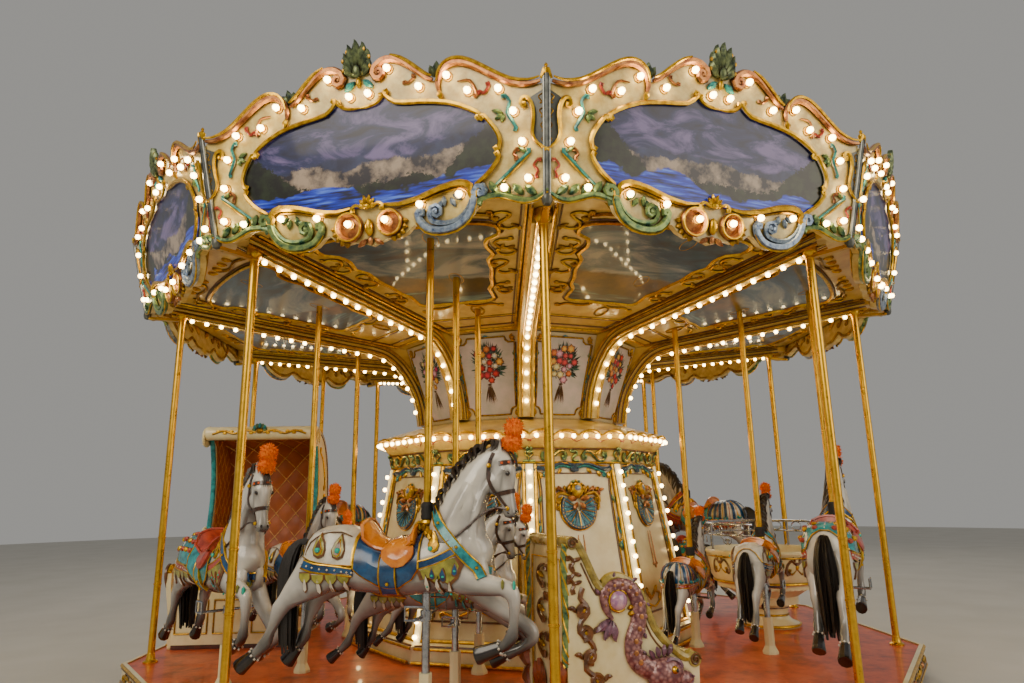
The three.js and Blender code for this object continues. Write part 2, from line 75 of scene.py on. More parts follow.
RIM_POLE_RING = 3495
POLE_R = 26
POLE_TOP = 3750
POLE_LEAD = math.radians(3.6)
ROWS = {"outer": (3078, 1.0), "middle": (2451, 0.75), "inner": (1805, 0.7)}
SLEEVE_HEIGHT = 300
STROKE = 150
SECTION_LIFT = [0, -60, 0, 80, -100, 40, 110, -50, -90, 0]
ROW_PHASE = {"outer": 1, "middle": -1, "inner": 1}

# Camera: at the photograph's place and angle
CAMERA_PLACE = (-362, -7603, 1616)
CAMERA_YAW = math.radians(2.085)
CAMERA_PITCH = math.radians(12.76)
CAMERA_ROLL = math.radians(-0.89)
LENS_MM = 24
SENSOR_MM = 36


def make_camera():
    """A camera with the photograph's view of the ride."""
    data = bpy.data.cameras.new("camera")
    data.lens = LENS_MM
    data.sensor_width = SENSOR_MM
    camera = bpy.data.objects.new("camera", data)
    bpy.context.scene.collection.objects.link(camera)
    ahead = Vector((math.sin(CAMERA_YAW), math.cos(CAMERA_YAW), 0))
    forward = ahead * math.cos(CAMERA_PITCH) + Vector((0, 0, math.sin(CAMERA_PITCH)))
    level = Vector((math.cos(CAMERA_YAW), -math.sin(CAMERA_YAW), 0))
    upright = level.cross(forward)
    right = math.cos(CAMERA_ROLL) * level + math.sin(CAMERA_ROLL) * upright
    up = -math.sin(CAMERA_ROLL) * level + math.cos(CAMERA_ROLL) * upright
    turn = Matrix((right, up, -forward)).transposed().to_4x4()
    camera.matrix_world = Matrix.Translation(Vector(CAMERA_PLACE) * MM) @ turn
    bpy.context.scene.camera = camera


make_camera()


# Materials


def linear(code, alpha=1.0):
    """An sRGB hex colour as Blender's linear RGBA."""
    parts = [int(code[i:i + 2], 16) / 255 for i in (0, 2, 4)]
    return tuple(c / 12.92 if c <= 0.04045 else ((c + 0.055) / 1.055) ** 2.4 for c in parts) + (alpha,)


def add(tree, kind, stops=None, **settings):
    """Adds a node. Capitalised settings are inputs by name, in0, in1 are inputs by place, others are its own
    properties. A socket is linked, a node is linked from its first output, and anything else is set."""
    made = tree.nodes.new("ShaderNode" + kind)
    for key, value in settings.items():
        if key[0].isupper():
            socket = made.inputs[key.replace("_", " ")]
        elif key[:2] == "in" and key[2:].isdigit():
            socket = made.inputs[int(key[2:])]
        else:
            setattr(made, key, value)
            continue
        if isinstance(value, bpy.types.Node):
            value = value.outputs[0]
        if isinstance(value, bpy.types.NodeSocket):
            tree.links.new(value, socket)
        else:
            socket.default_value = value
    if stops:
        ramp = made.color_ramp
        while len(ramp.elements) < len(stops):
            ramp.elements.new(1.0)
        for element, (place, code) in zip(ramp.elements, stops):
            element.position = place
            element.color = linear(code)
    return made


def new_finish(name):
    """A material without nodes, and its tree."""
    material = bpy.data.materials.new(name)
    material.use_nodes = True
    material.node_tree.nodes.clear()
    return material, material.node_tree


def surface(tree, **settings):
    """The shader of a finish, linked to its output."""
    add(tree, "OutputMaterial", Surface=add(tree, "BsdfPrincipled", **settings))


def here(tree):
    """The surface's own place in metres, fixed to the piece."""
    return add(tree, "TexCoord").outputs["Object"]


def per_mm(size):
    """Scale of a pattern, in metres, whose features have a size in millimetres."""
    return 1000 / size


def enamel(name, light, deep, patch=70, roughness=0.3, coat=0.4, crevice_shade=None, stroke=6):
    """Gloss enamel brushed and sprayed on moulded glass fibre: clean, wet-looking highlights, soft drifts
    between two tones, faint brush waviness, and painted shade that darkens the hollows."""
    material, tree = new_finish(name)
    place = here(tree)
    drift = add(tree, "TexNoise", Vector=place, Scale=per_mm(patch), Detail=4.0, Roughness=0.6)
    colour = add(tree, "ValToRGB", stops=[(0.36, deep), (0.62, light)], Fac=drift)
    # Painted shade: where ambient occlusion finds a hollow, the colour is darkened towards a shade colour.
    if crevice_shade:
        hollow = add(tree, "AmbientOcclusion", samples=6, Distance=0.03)
        crevice_mask = add(tree, "ValToRGB", stops=[(0.35, "FFFFFF"), (0.8, "000000")], Fac=hollow.outputs["AO"])
        colour = add(tree, "MixRGB", Fac=crevice_mask, Color1=colour, Color2=linear(crevice_shade))
    brush = add(tree, "TexNoise", Vector=place, Scale=per_mm(stroke), Detail=2.0)
    wave = add(tree, "Bump", Strength=0.12, Distance=0.002, Height=brush)
    sheen = add(tree, "MapRange", Value=drift, in3=roughness * 0.8, in4=roughness * 1.25)
    surface(tree, Base_Color=colour, Roughness=sheen, Normal=wave, Coat_Weight=coat, Coat_Roughness=0.12)
    return material


def gilding(name, bright, worn, crevice_shade="3A2208", roughness=0.28, metallic=0.85):
    """Metal leaf laid over carved mouldings: bright on the crests, with painted shade in brown in the
    hollows, and with the fine wrinkles of the leaf."""
    material, tree = new_finish(name)
    place = here(tree)
    cloud = add(tree, "TexNoise", Vector=place, Scale=per_mm(45), Detail=5.0, Roughness=0.65)
    leaf = add(tree, "ValToRGB", stops=[(0.35, worn), (0.6, bright)], Fac=cloud)
    # Painted shade: where ambient occlusion finds a hollow, the leaf is darkened towards a brown.
    hollow = add(tree, "AmbientOcclusion", samples=6, Distance=0.025)
    crevice_mask = add(tree, "ValToRGB", stops=[(0.25, "FFFFFF"), (0.75, "000000")], Fac=hollow.outputs["AO"])
    colour = add(tree, "MixRGB", Fac=crevice_mask, Color1=leaf, Color2=linear(crevice_shade))
    wrinkle = add(tree, "TexNoise", Vector=place, Scale=per_mm(9), Detail=3.0)
    relief = add(tree, "Bump", Strength=0.2, Distance=0.002, Height=wrinkle)
    shine = add(tree, "MapRange", Value=cloud, in3=roughness * 0.8, in4=roughness * 1.5)
    surface(tree, Base_Color=colour, Metallic=metallic, Roughness=shine, Normal=relief)
    return material


def lamp_glass():
    """Opal glass globes, lit: a warm white that blows out in the middle and falls to amber at the rim."""
    material, tree = new_finish("opal_lamp_glass")
    rim = add(tree, "LayerWeight", Blend=0.35)
    glow = add(tree, "ValToRGB", stops=[(0.0, "FFEEB8"), (0.75, "FFBE4E")], Fac=rim.outputs["Facing"])
    surface(tree, Base_Color=linear("FFF0CC"), Roughness=0.25, Emission_Color=glow, Emission_Strength=20.0)
    return material


def turned_metal(name, bright, dull, roughness=0.3):
    """Drawn and polished metal tube: handling marks dull the polish, and fine streaks run round it, drawn
    coarser than real ones so that they show."""
    material, tree = new_finish(name)
    place = here(tree)
    smear = add(tree, "TexNoise", Vector=place, Scale=per_mm(60), Detail=5.0, Roughness=0.7)
    colour = add(tree, "ValToRGB", stops=[(0.35, dull), (0.65, bright)], Fac=smear)
    stretch = add(tree, "Mapping", Vector=place, Scale=(1.0, 1.0, 12.0))
    drawn = add(tree, "TexNoise", Vector=stretch, Scale=per_mm(24), Detail=2.0)
    relief = add(tree, "Bump", Strength=0.08, Distance=0.001, Height=drawn)
    shine = add(tree, "MapRange", Value=smear, in3=roughness * 0.7, in4=roughness * 1.6)
    surface(tree, Base_Color=colour, Metallic=1.0, Roughness=shine, Normal=relief)
    return material


def landscape(name, sky, cloud, hills, water, glow=0.25, varnish=0.22):
    """Airbrushed landscape under varnish: a clouded evening sky, soft ranges of hills, dark trees that close
    in at both ends, and a lake with ripples. Each panel draws its own from its own number."""
    material, tree = new_finish(name)
    spot = add(tree, "UVMap", uv_map="panel")
    seed = add(tree, "ObjectInfo").outputs["Object Index"]
    parts = add(tree, "SeparateXYZ", Vector=spot)
    across, up = parts.outputs[0], parts.outputs[1]
    moved = add(tree, "CombineXYZ", X=across, Y=up, Z=seed)
    drift = add(tree, "Mapping", Vector=moved, Scale=(1.1, 2.6, 1.0))
    puffs = add(tree, "TexNoise", Vector=drift, Scale=1.9, Detail=8.0, Roughness=0.62, Distortion=0.7)
    depth = add(tree, "MapRange", Value=up, in3=0.18, in4=-0.02)
    bank = add(tree, "Math", operation="ADD", in0=puffs, in1=depth)
    picture = add(tree, "ValToRGB", stops=[(0.4, sky), (0.54, cloud[0]), (0.68, cloud[1])], Fac=bank)
    ends = add(tree, "Math", operation="ABSOLUTE", in0=across)
    for rank, (height, swing, bumpiness, closing, dark, lit) in enumerate(hills):
        line = add(tree, "CombineXYZ", X=across, Y=float(rank * 3.7), Z=seed)
        ridge = add(tree, "TexNoise", Vector=line, Scale=bumpiness, Detail=6.0, Roughness=0.5)
        crest = add(tree, "MapRange", Value=ridge, in1=0.3, in2=0.7, in3=height - swing, in4=height + swing)
        rise = add(tree, "MapRange", Value=ends, in1=0.72, in2=1.3, in3=0.0, in4=closing)
        tufts = add(tree, "TexNoise", Vector=moved, Scale=7.0 + 9 * rank, Detail=5.0, Roughness=0.75)
        ragged = add(tree, "Math", operation="MULTIPLY_ADD", in0=tufts, in1=0.04 + 0.09 * rank, in2=crest)
        top = add(tree, "Math", operation="ADD", in0=ragged, in1=rise)
        gap = add(tree, "Math", operation="SUBTRACT", in0=top, in1=up)
        edge = add(tree, "MapRange", Value=gap, in1=0.0, in2=0.03 - 0.01 * rank)
        forms = add(tree, "TexNoise", Vector=moved, Scale=2.6 + 2.2 * rank, Detail=6.0, Roughness=0.6)
        body = add(tree, "ValToRGB", stops=[(0.42, dark), (0.62, lit)], Fac=forms)
        picture = add(tree, "MixRGB", Fac=edge, Color1=picture, Color2=body)
    stretch = add(tree, "Mapping", Vector=moved, Scale=(1.6, 17.0, 1.0))
    ripple = add(tree, "TexNoise", Vector=stretch, Scale=1.7, Detail=5.0)
    lake = add(tree, "ValToRGB", stops=[(0.38, water[0]), (0.52, water[1]), (0.68, water[2])], Fac=ripple)
    shore = add(tree, "TexNoise", Vector=moved, Scale=1.6, Detail=4.0)
    bank = add(tree, "MapRange", Value=shore, in1=0.3, in2=0.7, in3=0.05, in4=0.36)
    under = add(tree, "Math", operation="SUBTRACT", in0=bank, in1=up)
    wet = add(tree, "MapRange", Value=under, in1=0.0, in2=0.02)
    picture = add(tree, "MixRGB", Fac=wet, Color1=picture, Color2=lake)
    grain = add(tree, "TexNoise", Vector=here(tree), Scale=per_mm(5), Detail=2.0)
    relief = add(tree, "Bump", Strength=0.06, Distance=0.002, Height=grain)
    # Painted light: the picture also glows a little by its own light (glow), though it is no lamp.
    surface(tree, Base_Color=picture, Roughness=0.3, Coat_Weight=varnish, Coat_Roughness=0.05, Normal=relief,
            Emission_Color=picture, Emission_Strength=glow)
    return material


def painted_petals():
    """Decorators' colours brushed flat on the panels: each petal has its own tint, with a streak of brush."""
    material, tree = new_finish("brushed_flower_paint")
    tint = add(tree, "VertexColor", layer_name="tint")
    streak = add(tree, "TexNoise", Vector=here(tree), Scale=per_mm(7), Detail=3.0)
    value = add(tree, "MapRange", Value=streak, in3=0.7, in4=1.2)
    colour = add(tree, "HueSaturation", Color=tint, Value=value)
    surface(tree, Base_Color=colour, Roughness=0.4, Coat_Weight=0.3)
    return material


def floor_paint():
    """Deck paint on steel sheet: orange-red, scuffed darker where it is walked on, with the sockets left
    cream. The sockets stand above the deck, so their paint starts a little over its top."""
    material, tree = new_finish("scuffed_deck_paint")
    place = here(tree)
    scuff = add(tree, "TexNoise", Vector=place, Scale=per_mm(260), Detail=8.0, Roughness=0.7)
    deck = add(tree, "ValToRGB", stops=[(0.34, "8A300E"), (0.5, "C24C18"), (0.68, "D8642A")], Fac=scuff)
    height = add(tree, "SeparateXYZ", Vector=place)
    above = add(tree, "Math", operation="GREATER_THAN", in0=height.outputs[2], in1=(FLOOR_TOP + 2) * MM)
    colour = add(tree, "MixRGB", Fac=above, Color1=deck, Color2=linear("E2D6A6"))
    tread = add(tree, "TexVoronoi", Vector=place, Scale=per_mm(22))
    relief = add(tree, "Bump", Strength=0.2, Distance=0.001, Height=tread)
    surface(tree, Base_Color=colour, Roughness=0.42, Normal=relief, Coat_Weight=0.2)
    return material


def milky_strip():
    """Milky acrylic channel, lit through by the lamps behind it."""
    material, tree = new_finish("milky_acrylic_strip")
    cloud = add(tree, "TexNoise", Vector=here(tree), Scale=per_mm(60), Detail=2.0)
    tone = add(tree, "ValToRGB", stops=[(0.35, "E8DDB0"), (0.65, "F6EFD0")], Fac=cloud)
    surface(tree, Base_Color=tone, Roughness=0.3, Emission_Color=linear("FFE6A0"), Emission_Strength=0.6,
            Coat_Weight=0.4)
    return material


def sprayed_coat():
    """The horses' gloss white: warm white enamel; grey strokes that are partly airbrushed paint and partly
    painted shade; painted shade in the hollows and on surfaces that face down; and a wet clear coat."""
    material, tree = new_finish("sprayed_white_enamel")
    place = here(tree)
    # The grey strokes: partly airbrushed paint and partly painted shade.
    sprayed_grey_and_shade = add(tree, "VertexColor", layer_name="tint")
    drift = add(tree, "TexNoise", Vector=place, Scale=per_mm(240), Detail=4.0)
    base = add(tree, "ValToRGB", stops=[(0.35, "C2BCB0"), (0.6, "E4DDCC")], Fac=drift)
    # Painted shade: hollows found by ambient occlusion are darkened.
    hollow = add(tree, "AmbientOcclusion", samples=6, Distance=0.08)
    dark = add(tree, "ValToRGB", stops=[(0.3, "4A463E"), (0.88, "FFFFFF")], Fac=hollow.outputs["AO"])
    toned = add(tree, "MixRGB", blend_type="MULTIPLY", Fac=1.0, Color1=base, Color2=sprayed_grey_and_shade)
    deep = add(tree, "MixRGB", blend_type="MULTIPLY", Fac=0.8, Color1=toned, Color2=dark)
    # Painted shade: the surface greys the more it faces down, under the belly, jaw and neck.
    facing = add(tree, "SeparateXYZ", Vector=add(tree, "NewGeometry").outputs["Normal"])
    under = add(tree, "ValToRGB", stops=[(0.05, "7C8290"), (0.62, "FFFFFF")],
                Fac=add(tree, "MapRange", Value=facing.outputs[2], in1=-1.0, in2=1.0))
    shaded = add(tree, "MixRGB", blend_type="MULTIPLY", Fac=1.0, Color1=deep, Color2=under)
    dimple = add(tree, "TexNoise", Vector=place, Scale=per_mm(14), Detail=2.0)
    relief = add(tree, "Bump", Strength=0.08, Distance=0.002, Height=dimple)
    surface(tree, Base_Color=shaded, Roughness=0.26, Coat_Weight=0.7, Coat_Roughness=0.06, Normal=relief)
    return material


def carved_hair(name, light, dark, strand=5, roughness=0.38):
    """Hair in paint or fibre: streaks along it, lighter on the ridges. They are drawn coarser than real
    strands, so that they show."""
    material, tree = new_finish(name)
    place = here(tree)
    stretch = add(tree, "Mapping", Vector=place, Scale=(1.0, 1.0, 0.25))
    streak = add(tree, "TexNoise", Vector=stretch, Scale=per_mm(strand), Detail=4.0, Roughness=0.7)
    colour = add(tree, "ValToRGB", stops=[(0.35, dark), (0.68, light)], Fac=streak)
    relief = add(tree, "Bump", Strength=0.5, Distance=0.004, Height=streak)
    surface(tree, Base_Color=colour, Roughness=roughness, Normal=relief)
    return material


def padded_vinyl(name, light, dark):
    """Stuffed vinyl cloth: a soft sheen, wear that dulls it in places, and a grain drawn coarser than real so
    that it shows."""
    material, tree = new_finish(name)
    place = here(tree)
    wear = add(tree, "TexNoise", Vector=place, Scale=per_mm(180), Detail=5.0)
    colour = add(tree, "ValToRGB", stops=[(0.35, dark), (0.65, light)], Fac=wear)
    grain = add(tree, "TexVoronoi", Vector=place, Scale=per_mm(4))
    relief = add(tree, "Bump", Strength=0.1, Distance=0.0008, Height=grain)
    shine = add(tree, "MapRange", Value=wear, in3=0.32, in4=0.5)
    surface(tree, Base_Color=colour, Roughness=shine, Normal=relief, Coat_Weight=0.15)
    return material


def scaled_lustre(name, light, dark):
    """Lustre paint over carved scales: each scale bright on its crown and dark at its edge."""
    material, tree = new_finish(name)
    place = here(tree)
    scales = add(tree, "TexVoronoi", Vector=place, Scale=per_mm(26))
    colour = add(tree, "ValToRGB", stops=[(0.1, light), (0.75, dark)], Fac=scales)
    relief = add(tree, "Bump", Strength=0.7, Distance=0.006, Height=scales, invert=True)
    surface(tree, Base_Color=colour, Roughness=0.24, Metallic=0.2, Normal=relief, Coat_Weight=0.6)
    return material


def glass_jewel(name, bright, deep):
    """Moulded glass jewels: a clear coloured gloss, with painted shade darkening the rim."""
    material, tree = new_finish(name)
    rim = add(tree, "LayerWeight", Blend=0.4)
    tone = add(tree, "ValToRGB", stops=[(0.2, bright), (0.8, deep)], Fac=rim.outputs["Facing"])
    surface(tree, Base_Color=tone, Roughness=0.06, Coat_Weight=0.8)
    return material


# Where a finish is given a second, darker colour for its hollows, that colour is painted shade.
FINISH = {
    "coat": sprayed_coat(),
    "vinyl": padded_vinyl("tan_quilted_vinyl", "AE5A1C", "944510"),
    "welt": enamel("gold_piping_vinyl", "D9A04A", "A8702A", patch=30, roughness=0.4, coat=0.1),
    "wine": enamel("red_brown_enamel", "6A3220", "44200F", patch=120, crevice_shade="1E0E06"),
    "olive_gold": enamel("olive_gold_lustre", "B8A046", "7A6824", patch=70, roughness=0.26, crevice_shade="3A2E0C"),
    "serpent": scaled_lustre("rose_violet_scales", "B07E78", "6A3A40"),
    "violet": enamel("violet_lustre_enamel", "8C6478", "503040", patch=40, crevice_shade="2A1420"),
    "pearl_rose": enamel("pearl_rose_lustre", "D9A8B4", "9A6A9A", patch=40, roughness=0.14, coat=0.8),
    "mane": carved_hair("umber_black_mane_paint", "4A3A2C", "120E0C"),
    "hair": carved_hair("black_horsehair", "2A221C", "0A0807", strand=4),
    "plume": carved_hair("dyed_orange_plume", "FF8A0A", "CC4E00", strand=7, roughness=0.9),
    "hoof": enamel("black_hoof_enamel", "2A2422", "0E0C0C", roughness=0.22),
    "eye": glass_jewel("brown_glass_eye", "1C120A", "060404"),
    "pearl": enamel("pearl_stud_enamel", "E6E0D0", "BEB6A4", patch=20),
    "jewel": glass_jewel("teal_glass_jewel", "1FB8A0", "06564E"),
    "jewel_orange": glass_jewel("orange_glass_jewel", "E8662A", "8A2A0A"),
    "white": enamel("white_trapping_enamel", "E2DCCB", "C2BAA4", patch=90, crevice_shade="7A6A4A"),
    "blue": enamel("blue_trapping_enamel", "18507E", "0B2C50", patch=90, roughness=0.24, crevice_shade="0A1C3A"),
    "aqua": enamel("teal_trapping_enamel", "2FA0A4", "14666E", patch=60, roughness=0.24, crevice_shade="08343C"),
    "olive": enamel("yellow_green_trapping_enamel", "A8A23A", "6E6E22", patch=70, crevice_shade="2E3210"),
    "orange": enamel("orange_saddle_enamel", "E68A16", "B85C08", patch=110, roughness=0.2, coat=0.8,
                     crevice_shade="5A2406"),
    "rust": enamel("rust_girth_enamel", "9A4A22", "6A2C12", patch=40),
    "leather": enamel("brown_harness_enamel", "4A2C1A", "24140C", patch=30, roughness=0.28),
    "chrome": turned_metal("polished_chrome", "C9CCD2", "8E929A", roughness=0.16),
    "rubber": carved_hair("ribbed_black_rubber", "2A2A28", "121211", strand=9, roughness=0.7),
    # Its strong yellow stands partly for the lamps' warm light on it: painted light over its own ivory.
    "ivory": enamel("ivory_gloss_enamel", "E8D284", "CFAF58", crevice_shade="6E4E14"),
    "cream": enamel("cream_gloss_enamel", "EFE3B4", "DFCD92", patch=220, crevice_shade="9A7A34"),
    # Cream made strongly yellow for the lamps' warm light on it: painted light over its own cream.
    "glow_cream": enamel("cream_enamel_with_painted_lamplight", "EECF6A", "D6AE48", patch=160, crevice_shade="6E480E"),
    "gold": gilding("gold_leaf_moulding", "F2C230", "B98414"),
    "old_gold": gilding("umber_toned_gold", "C99A2E", "7D5614", roughness=0.36),
    "rose": gilding("rose_copper_lustre", "C78A50", "84492E", roughness=0.28, metallic=0.65),
    "teal": enamel("teal_lustre_enamel", "3FA59E", "1F5F66", patch=40, crevice_shade="0E2E3A"),
    "green": gilding("green_gold_lustre", "8FA45E", "2F5A4A", crevice_shade="0E1E16", roughness=0.26, metallic=0.45),
    "silver_blue": gilding("silver_blue_lustre", "9FB0C0", "44587E", crevice_shade="141A30", roughness=0.26,
                           metallic=0.45),
    "navy": enamel("blue_green_leaf_enamel", "3E5A72", "1C3040", patch=40, crevice_shade="060C18"),
    "shell_blue": enamel("shell_blue_enamel", "6FB6C6", "2F7488", patch=40, crevice_shade="12303A"),
    "finial": gilding("green_bronze_lustre", "7E8A5E", "2E3C34", roughness=0.34, metallic=0.6),
    "brown": enamel("umber_line_enamel", "7A4A1C", "4A2A10", patch=50),
    "slate": enamel("slate_recess_enamel", "4E5148", "343A36", patch=120, roughness=0.4),
    "red": enamel("signal_red_enamel", "B8452C", "8A2A1C", patch=50),
    "lilac": enamel("lilac_satin_enamel", "EADCDC", "C8C8BE", patch=260, roughness=0.4),
    "lamp": lamp_glass(),
    "socket": turned_metal("pressed_brass_socket", "D8B464", "8A6420", roughness=0.35),
    "brass": turned_metal("drawn_brass_tube", "EDBC40", "D6A22C", roughness=0.26),
    "grey_metal": turned_metal("anodised_grey_strip", "B4B6B0", "7E827C", roughness=0.38),
    "steel": turned_metal("mill_steel", "6E7276", "44484C", roughness=0.5),
    "picture": landscape("varnished_landscape", "080C2A", ("1A2454", "6E6090"), [
        (0.46, 0.14, 0.9, 0.05, "10173A", "2E3B66"),
        (0.33, 0.12, 1.3, 0.12, "1E1A26", "A3907C"),
        (0.14, 0.1, 1.5, 0.5, "040605", "1F2A16"),
    ], ("08102E", "0F30C0", "5A84EE"), glow=0.16),
    "ceiling_picture": landscape("varnished_ceiling_sky", "0A2030", ("1A4A60", "8C9088"), [
        (0.42, 0.16, 0.8, 0.1, "1A1008", "7A5220"),
        (0.2, 0.12, 1.4, 0.3, "0A0704", "4A3614"),
    ], ("06121A", "123A4A", "6A9890"), glow=0.06, varnish=0.55),
    "petals": painted_petals(),
    "floor": floor_paint(),
    "milky": milky_strip(),
    "roof": enamel("chalked_roof_paint", "DCD3B8", "C4B998", patch=500, roughness=0.5, coat=0.05),
}


# Shapes. Angles on a panel are counted from u, counter-clockwise

UP = math.pi / 2
DOWN = -UP
OUTWARD = (0, 0, 1)
LAMP = 25
SMALL_LAMP = 22
# How far the edge of a leaf or a cloth is sunk into what it lies on
TUCK = 6
# Radians from one to the next, so that a spiral fills its circle evenly
EVEN_TURN = 2.4


class Shape:
    """Points in millimetres and faces, each face with a finish and each point with a tint."""

    def __init__(self):
        self.points = []
        self.images = []
        self.faces = []
        self.finishes = []
        self.tints = []
        self.count = 0

    def add(self, solid, finish, tint="FFFFFF", image=None):
        """Takes in a solid's points and faces. image holds the points to turn over for a mirror image."""
        points, faces = solid
        points = np.asarray(points, float).reshape(-1, 3)
        self.faces.extend([tuple(i + self.count for i in face) for face in faces])
        self.finishes.extend([finish] * len(faces))
        self.points.append(points)
        self.images.append(points if image is None else image)
        self.tints.append(np.tile(linear(tint), (len(points), 1)))
        self.count += len(points)

    def bar(self, path, radius, finish, sides=8, **more):
        """A round bar along a path. For a mirror image it is turned half round, so that a bar with an odd
        number of sides leads with the same edge."""
        image, _ = tube(path, np.negative(radius), sides, **more)
        self.add(tube(path, radius, sides, **more), finish, image=image)

    def line(self, points, height, radius, finish, sides=6, **more):
        """A rolled moulding on a panel, through (u, v) points at a height w."""
        self.bar(raised(points, height), radius, finish, sides, up=OUTWARD, **more)

    def bead(self, centre, radius, finish, rings=4, sides=8, squash=(1, 1, 1)):
        """A round bead, squashed along each axis."""
        self.add(ball(centre, radius, rings, sides, squash), finish)

    def lathe(self, profile, finish, sides=16, centre=(0, 0, 0), axis="z"):
        """A turned form from a profile of (radius, height)."""
        self.add(turned(profile, sides, centre, axis), finish)

    def join(self, other, turn=np.eye(3), shift=(0, 0, 0)):
        """Takes in another shape, turned and shifted. If turn mirrors it, its faces are turned over."""
        step = 1 if np.linalg.det(turn) > 0 else -1
        self.faces.extend([tuple(i + self.count for i in face[::step]) for face in other.faces])
        self.finishes.extend(other.finishes)
        self.points.append(np.vstack(other.points) @ np.transpose(turn) + shift)
        self.images.append(np.vstack(other.images) @ np.transpose(turn) + shift)
        self.tints.append(np.vstack(other.tints))
        self.count += other.count

    def mirror(self, right):
        """Takes in the mirror image of a right half, as a left half."""
        left = Shape()
        left.join(right)
        left.points = left.images
        self.join(left, np.diag((-1, 1, 1)))

    def pair(self, right):
        """Takes in a right half and its mirror image."""
        self.join(right)
        self.mirror(right)


def piece(name, shape, body, place=None, stands_for=(), crease=35):
    """A mesh object made from a shape, riding on a body. place turns the shape's millimetres into the
    frame."""
    points = np.vstack(shape.points) * MM
    mesh = bpy.data.meshes.new(name)
    mesh.from_pydata(points.tolist(), [], shape.faces)
    used = sorted(set(shape.finishes))
    for finish in used:
        mesh.materials.append(FINISH[finish])
    order = {finish: i for i, finish in enumerate(used)}
    mesh.polygons.foreach_set("material_index", [order[f] for f in shape.finishes])
    layer = mesh.color_attributes.new("tint", "FLOAT_COLOR", "POINT")
    layer.data.foreach_set("color", np.vstack(shape.tints).ravel())
    mesh.polygons.foreach_set("use_smooth", [True] * len(shape.faces))
    mesh.set_sharp_from_angle(angle=math.radians(crease))
    mesh.update()
    return placed(name, mesh, body, place, stands_for)


def shown(name, data):
    """An object of a mesh or a light, in the scene."""
    made = bpy.data.objects.new(name, data)
    bpy.context.scene.collection.objects.link(made)
    return made


def placed(name, mesh, body, place=None, stands_for=()):
    """An object of a mesh that may be shared, riding on a body."""
    made = shown(name, mesh)
    if place is not None:
        made.matrix_world = place
    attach(made, body)
    if stands_for:
        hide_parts(*stands_for)
    return made


def repeated(name, shape, places, node=None):
    """The same piece on all ten sections, with one mesh, in place of the nodes of that name if they are
    given."""
    mesh = None
    for k, place in enumerate(places):
        stands_for = [f"{node}_{k}"] if node else ()
        if mesh:
            placed(f"{name}_{k}", mesh, "rotor", place, stands_for)
        else:
            mesh = piece(f"{name}_{k}", shape, "rotor", place, stands_for).data


def facets(low, high):
    """Matrices of the ten flat facets between two (corner radius, height) rings: u to the right, v up the
    slant, w outward."""
    foot = Vector((0, -low[0] * math.cos(HALF), low[1])) * MM
    head = Vector((0, -high[0] * math.cos(HALF), high[1])) * MM
    up = (head - foot).normalized()
    right = Vector((1, 0, 0))
    turn = Matrix((right, up, right.cross(up))).transposed().to_4x4()
    return [Matrix.Rotation(STEP * (s + 0.5), 4, "Z") @ Matrix.Translation(foot) @ turn for s in range(SIDES)]


def spokes():
    """Matrices of the upright planes through the ten corners: x outward from the axis, y sideways, z up."""
    return [Matrix.Rotation(STEP * k - math.pi / 2, 4, "Z") for k in range(SIDES)]


def stand(section, radius, height, lead=0.0):
    """Matrix of a place on the deck: x forward along the ride's turn, y towards the axis, z up."""
    turn = Matrix.Rotation(STEP * (section + 0.5) + lead, 4, "Z")
    return turn @ Matrix.Translation(Vector((0, -radius, height)) * MM)


def smooth(points, steps=6, closed=False):
    """A rounded curve through points, by Catmull and Rom's rule."""
    p = np.asarray(points, float)
    if closed:
        p = np.vstack([p[-1], p, p[0], p[1]])
    else:
        p = np.vstack([2 * p[0] - p[1], p, 2 * p[-1] - p[-2]])
    t = np.linspace(0, 1, steps, endpoint=False)[:, None]
    spans = []
    for a, b, c, d in zip(p[:-3], p[1:-2], p[2:-1], p[3:]):
        bent = (2 * a - 5 * b + 4 * c - d) * t ** 2 + (3 * b - a - 3 * c + d) * t ** 3
        spans.append(0.5 * (2 * b + (c - a) * t + bent))
    curve = np.vstack(spans)
    return curve if closed else np.vstack([curve, p[-2]])


def circle(radius, count, centre=(0, 0)):
    """Points of a closed circle in a plane."""
    a = np.arange(count) * 2 * math.pi / count
    return np.column_stack([centre[0] + radius * np.cos(a), centre[1] + radius * np.sin(a)])


def raised(points, height=0.0):
    """Panel points (u, v) given a height w over the panel."""
    p = np.asarray(points, float)
    return np.column_stack([p, np.full(len(p), height)])


def net(rows, columns):
    """Faces of a net of points, laid row after row."""
    wide = columns + 1
    return [(i * wide + j, (i + 1) * wide + j, (i + 1) * wide + j + 1, i * wide + j + 1)
            for i in range(rows) for j in range(columns)]


def walls(rings, sides, closed=False):
    """Faces between rings of points, one ring after another."""
    faces = []
    for i in range(rings if closed else rings - 1):
        a, b = i * sides, (i + 1) % rings * sides
        for j in range(sides):
            k = (j + 1) % sides
            faces.append((a + j, a + k, b + k, b + j))
    return faces


def unit(vectors):
    """Each vector of a row at length 1."""
    v = np.asarray(vectors, float)
    return v / np.maximum(np.linalg.norm(v, axis=1), 1e-9)[:, None]


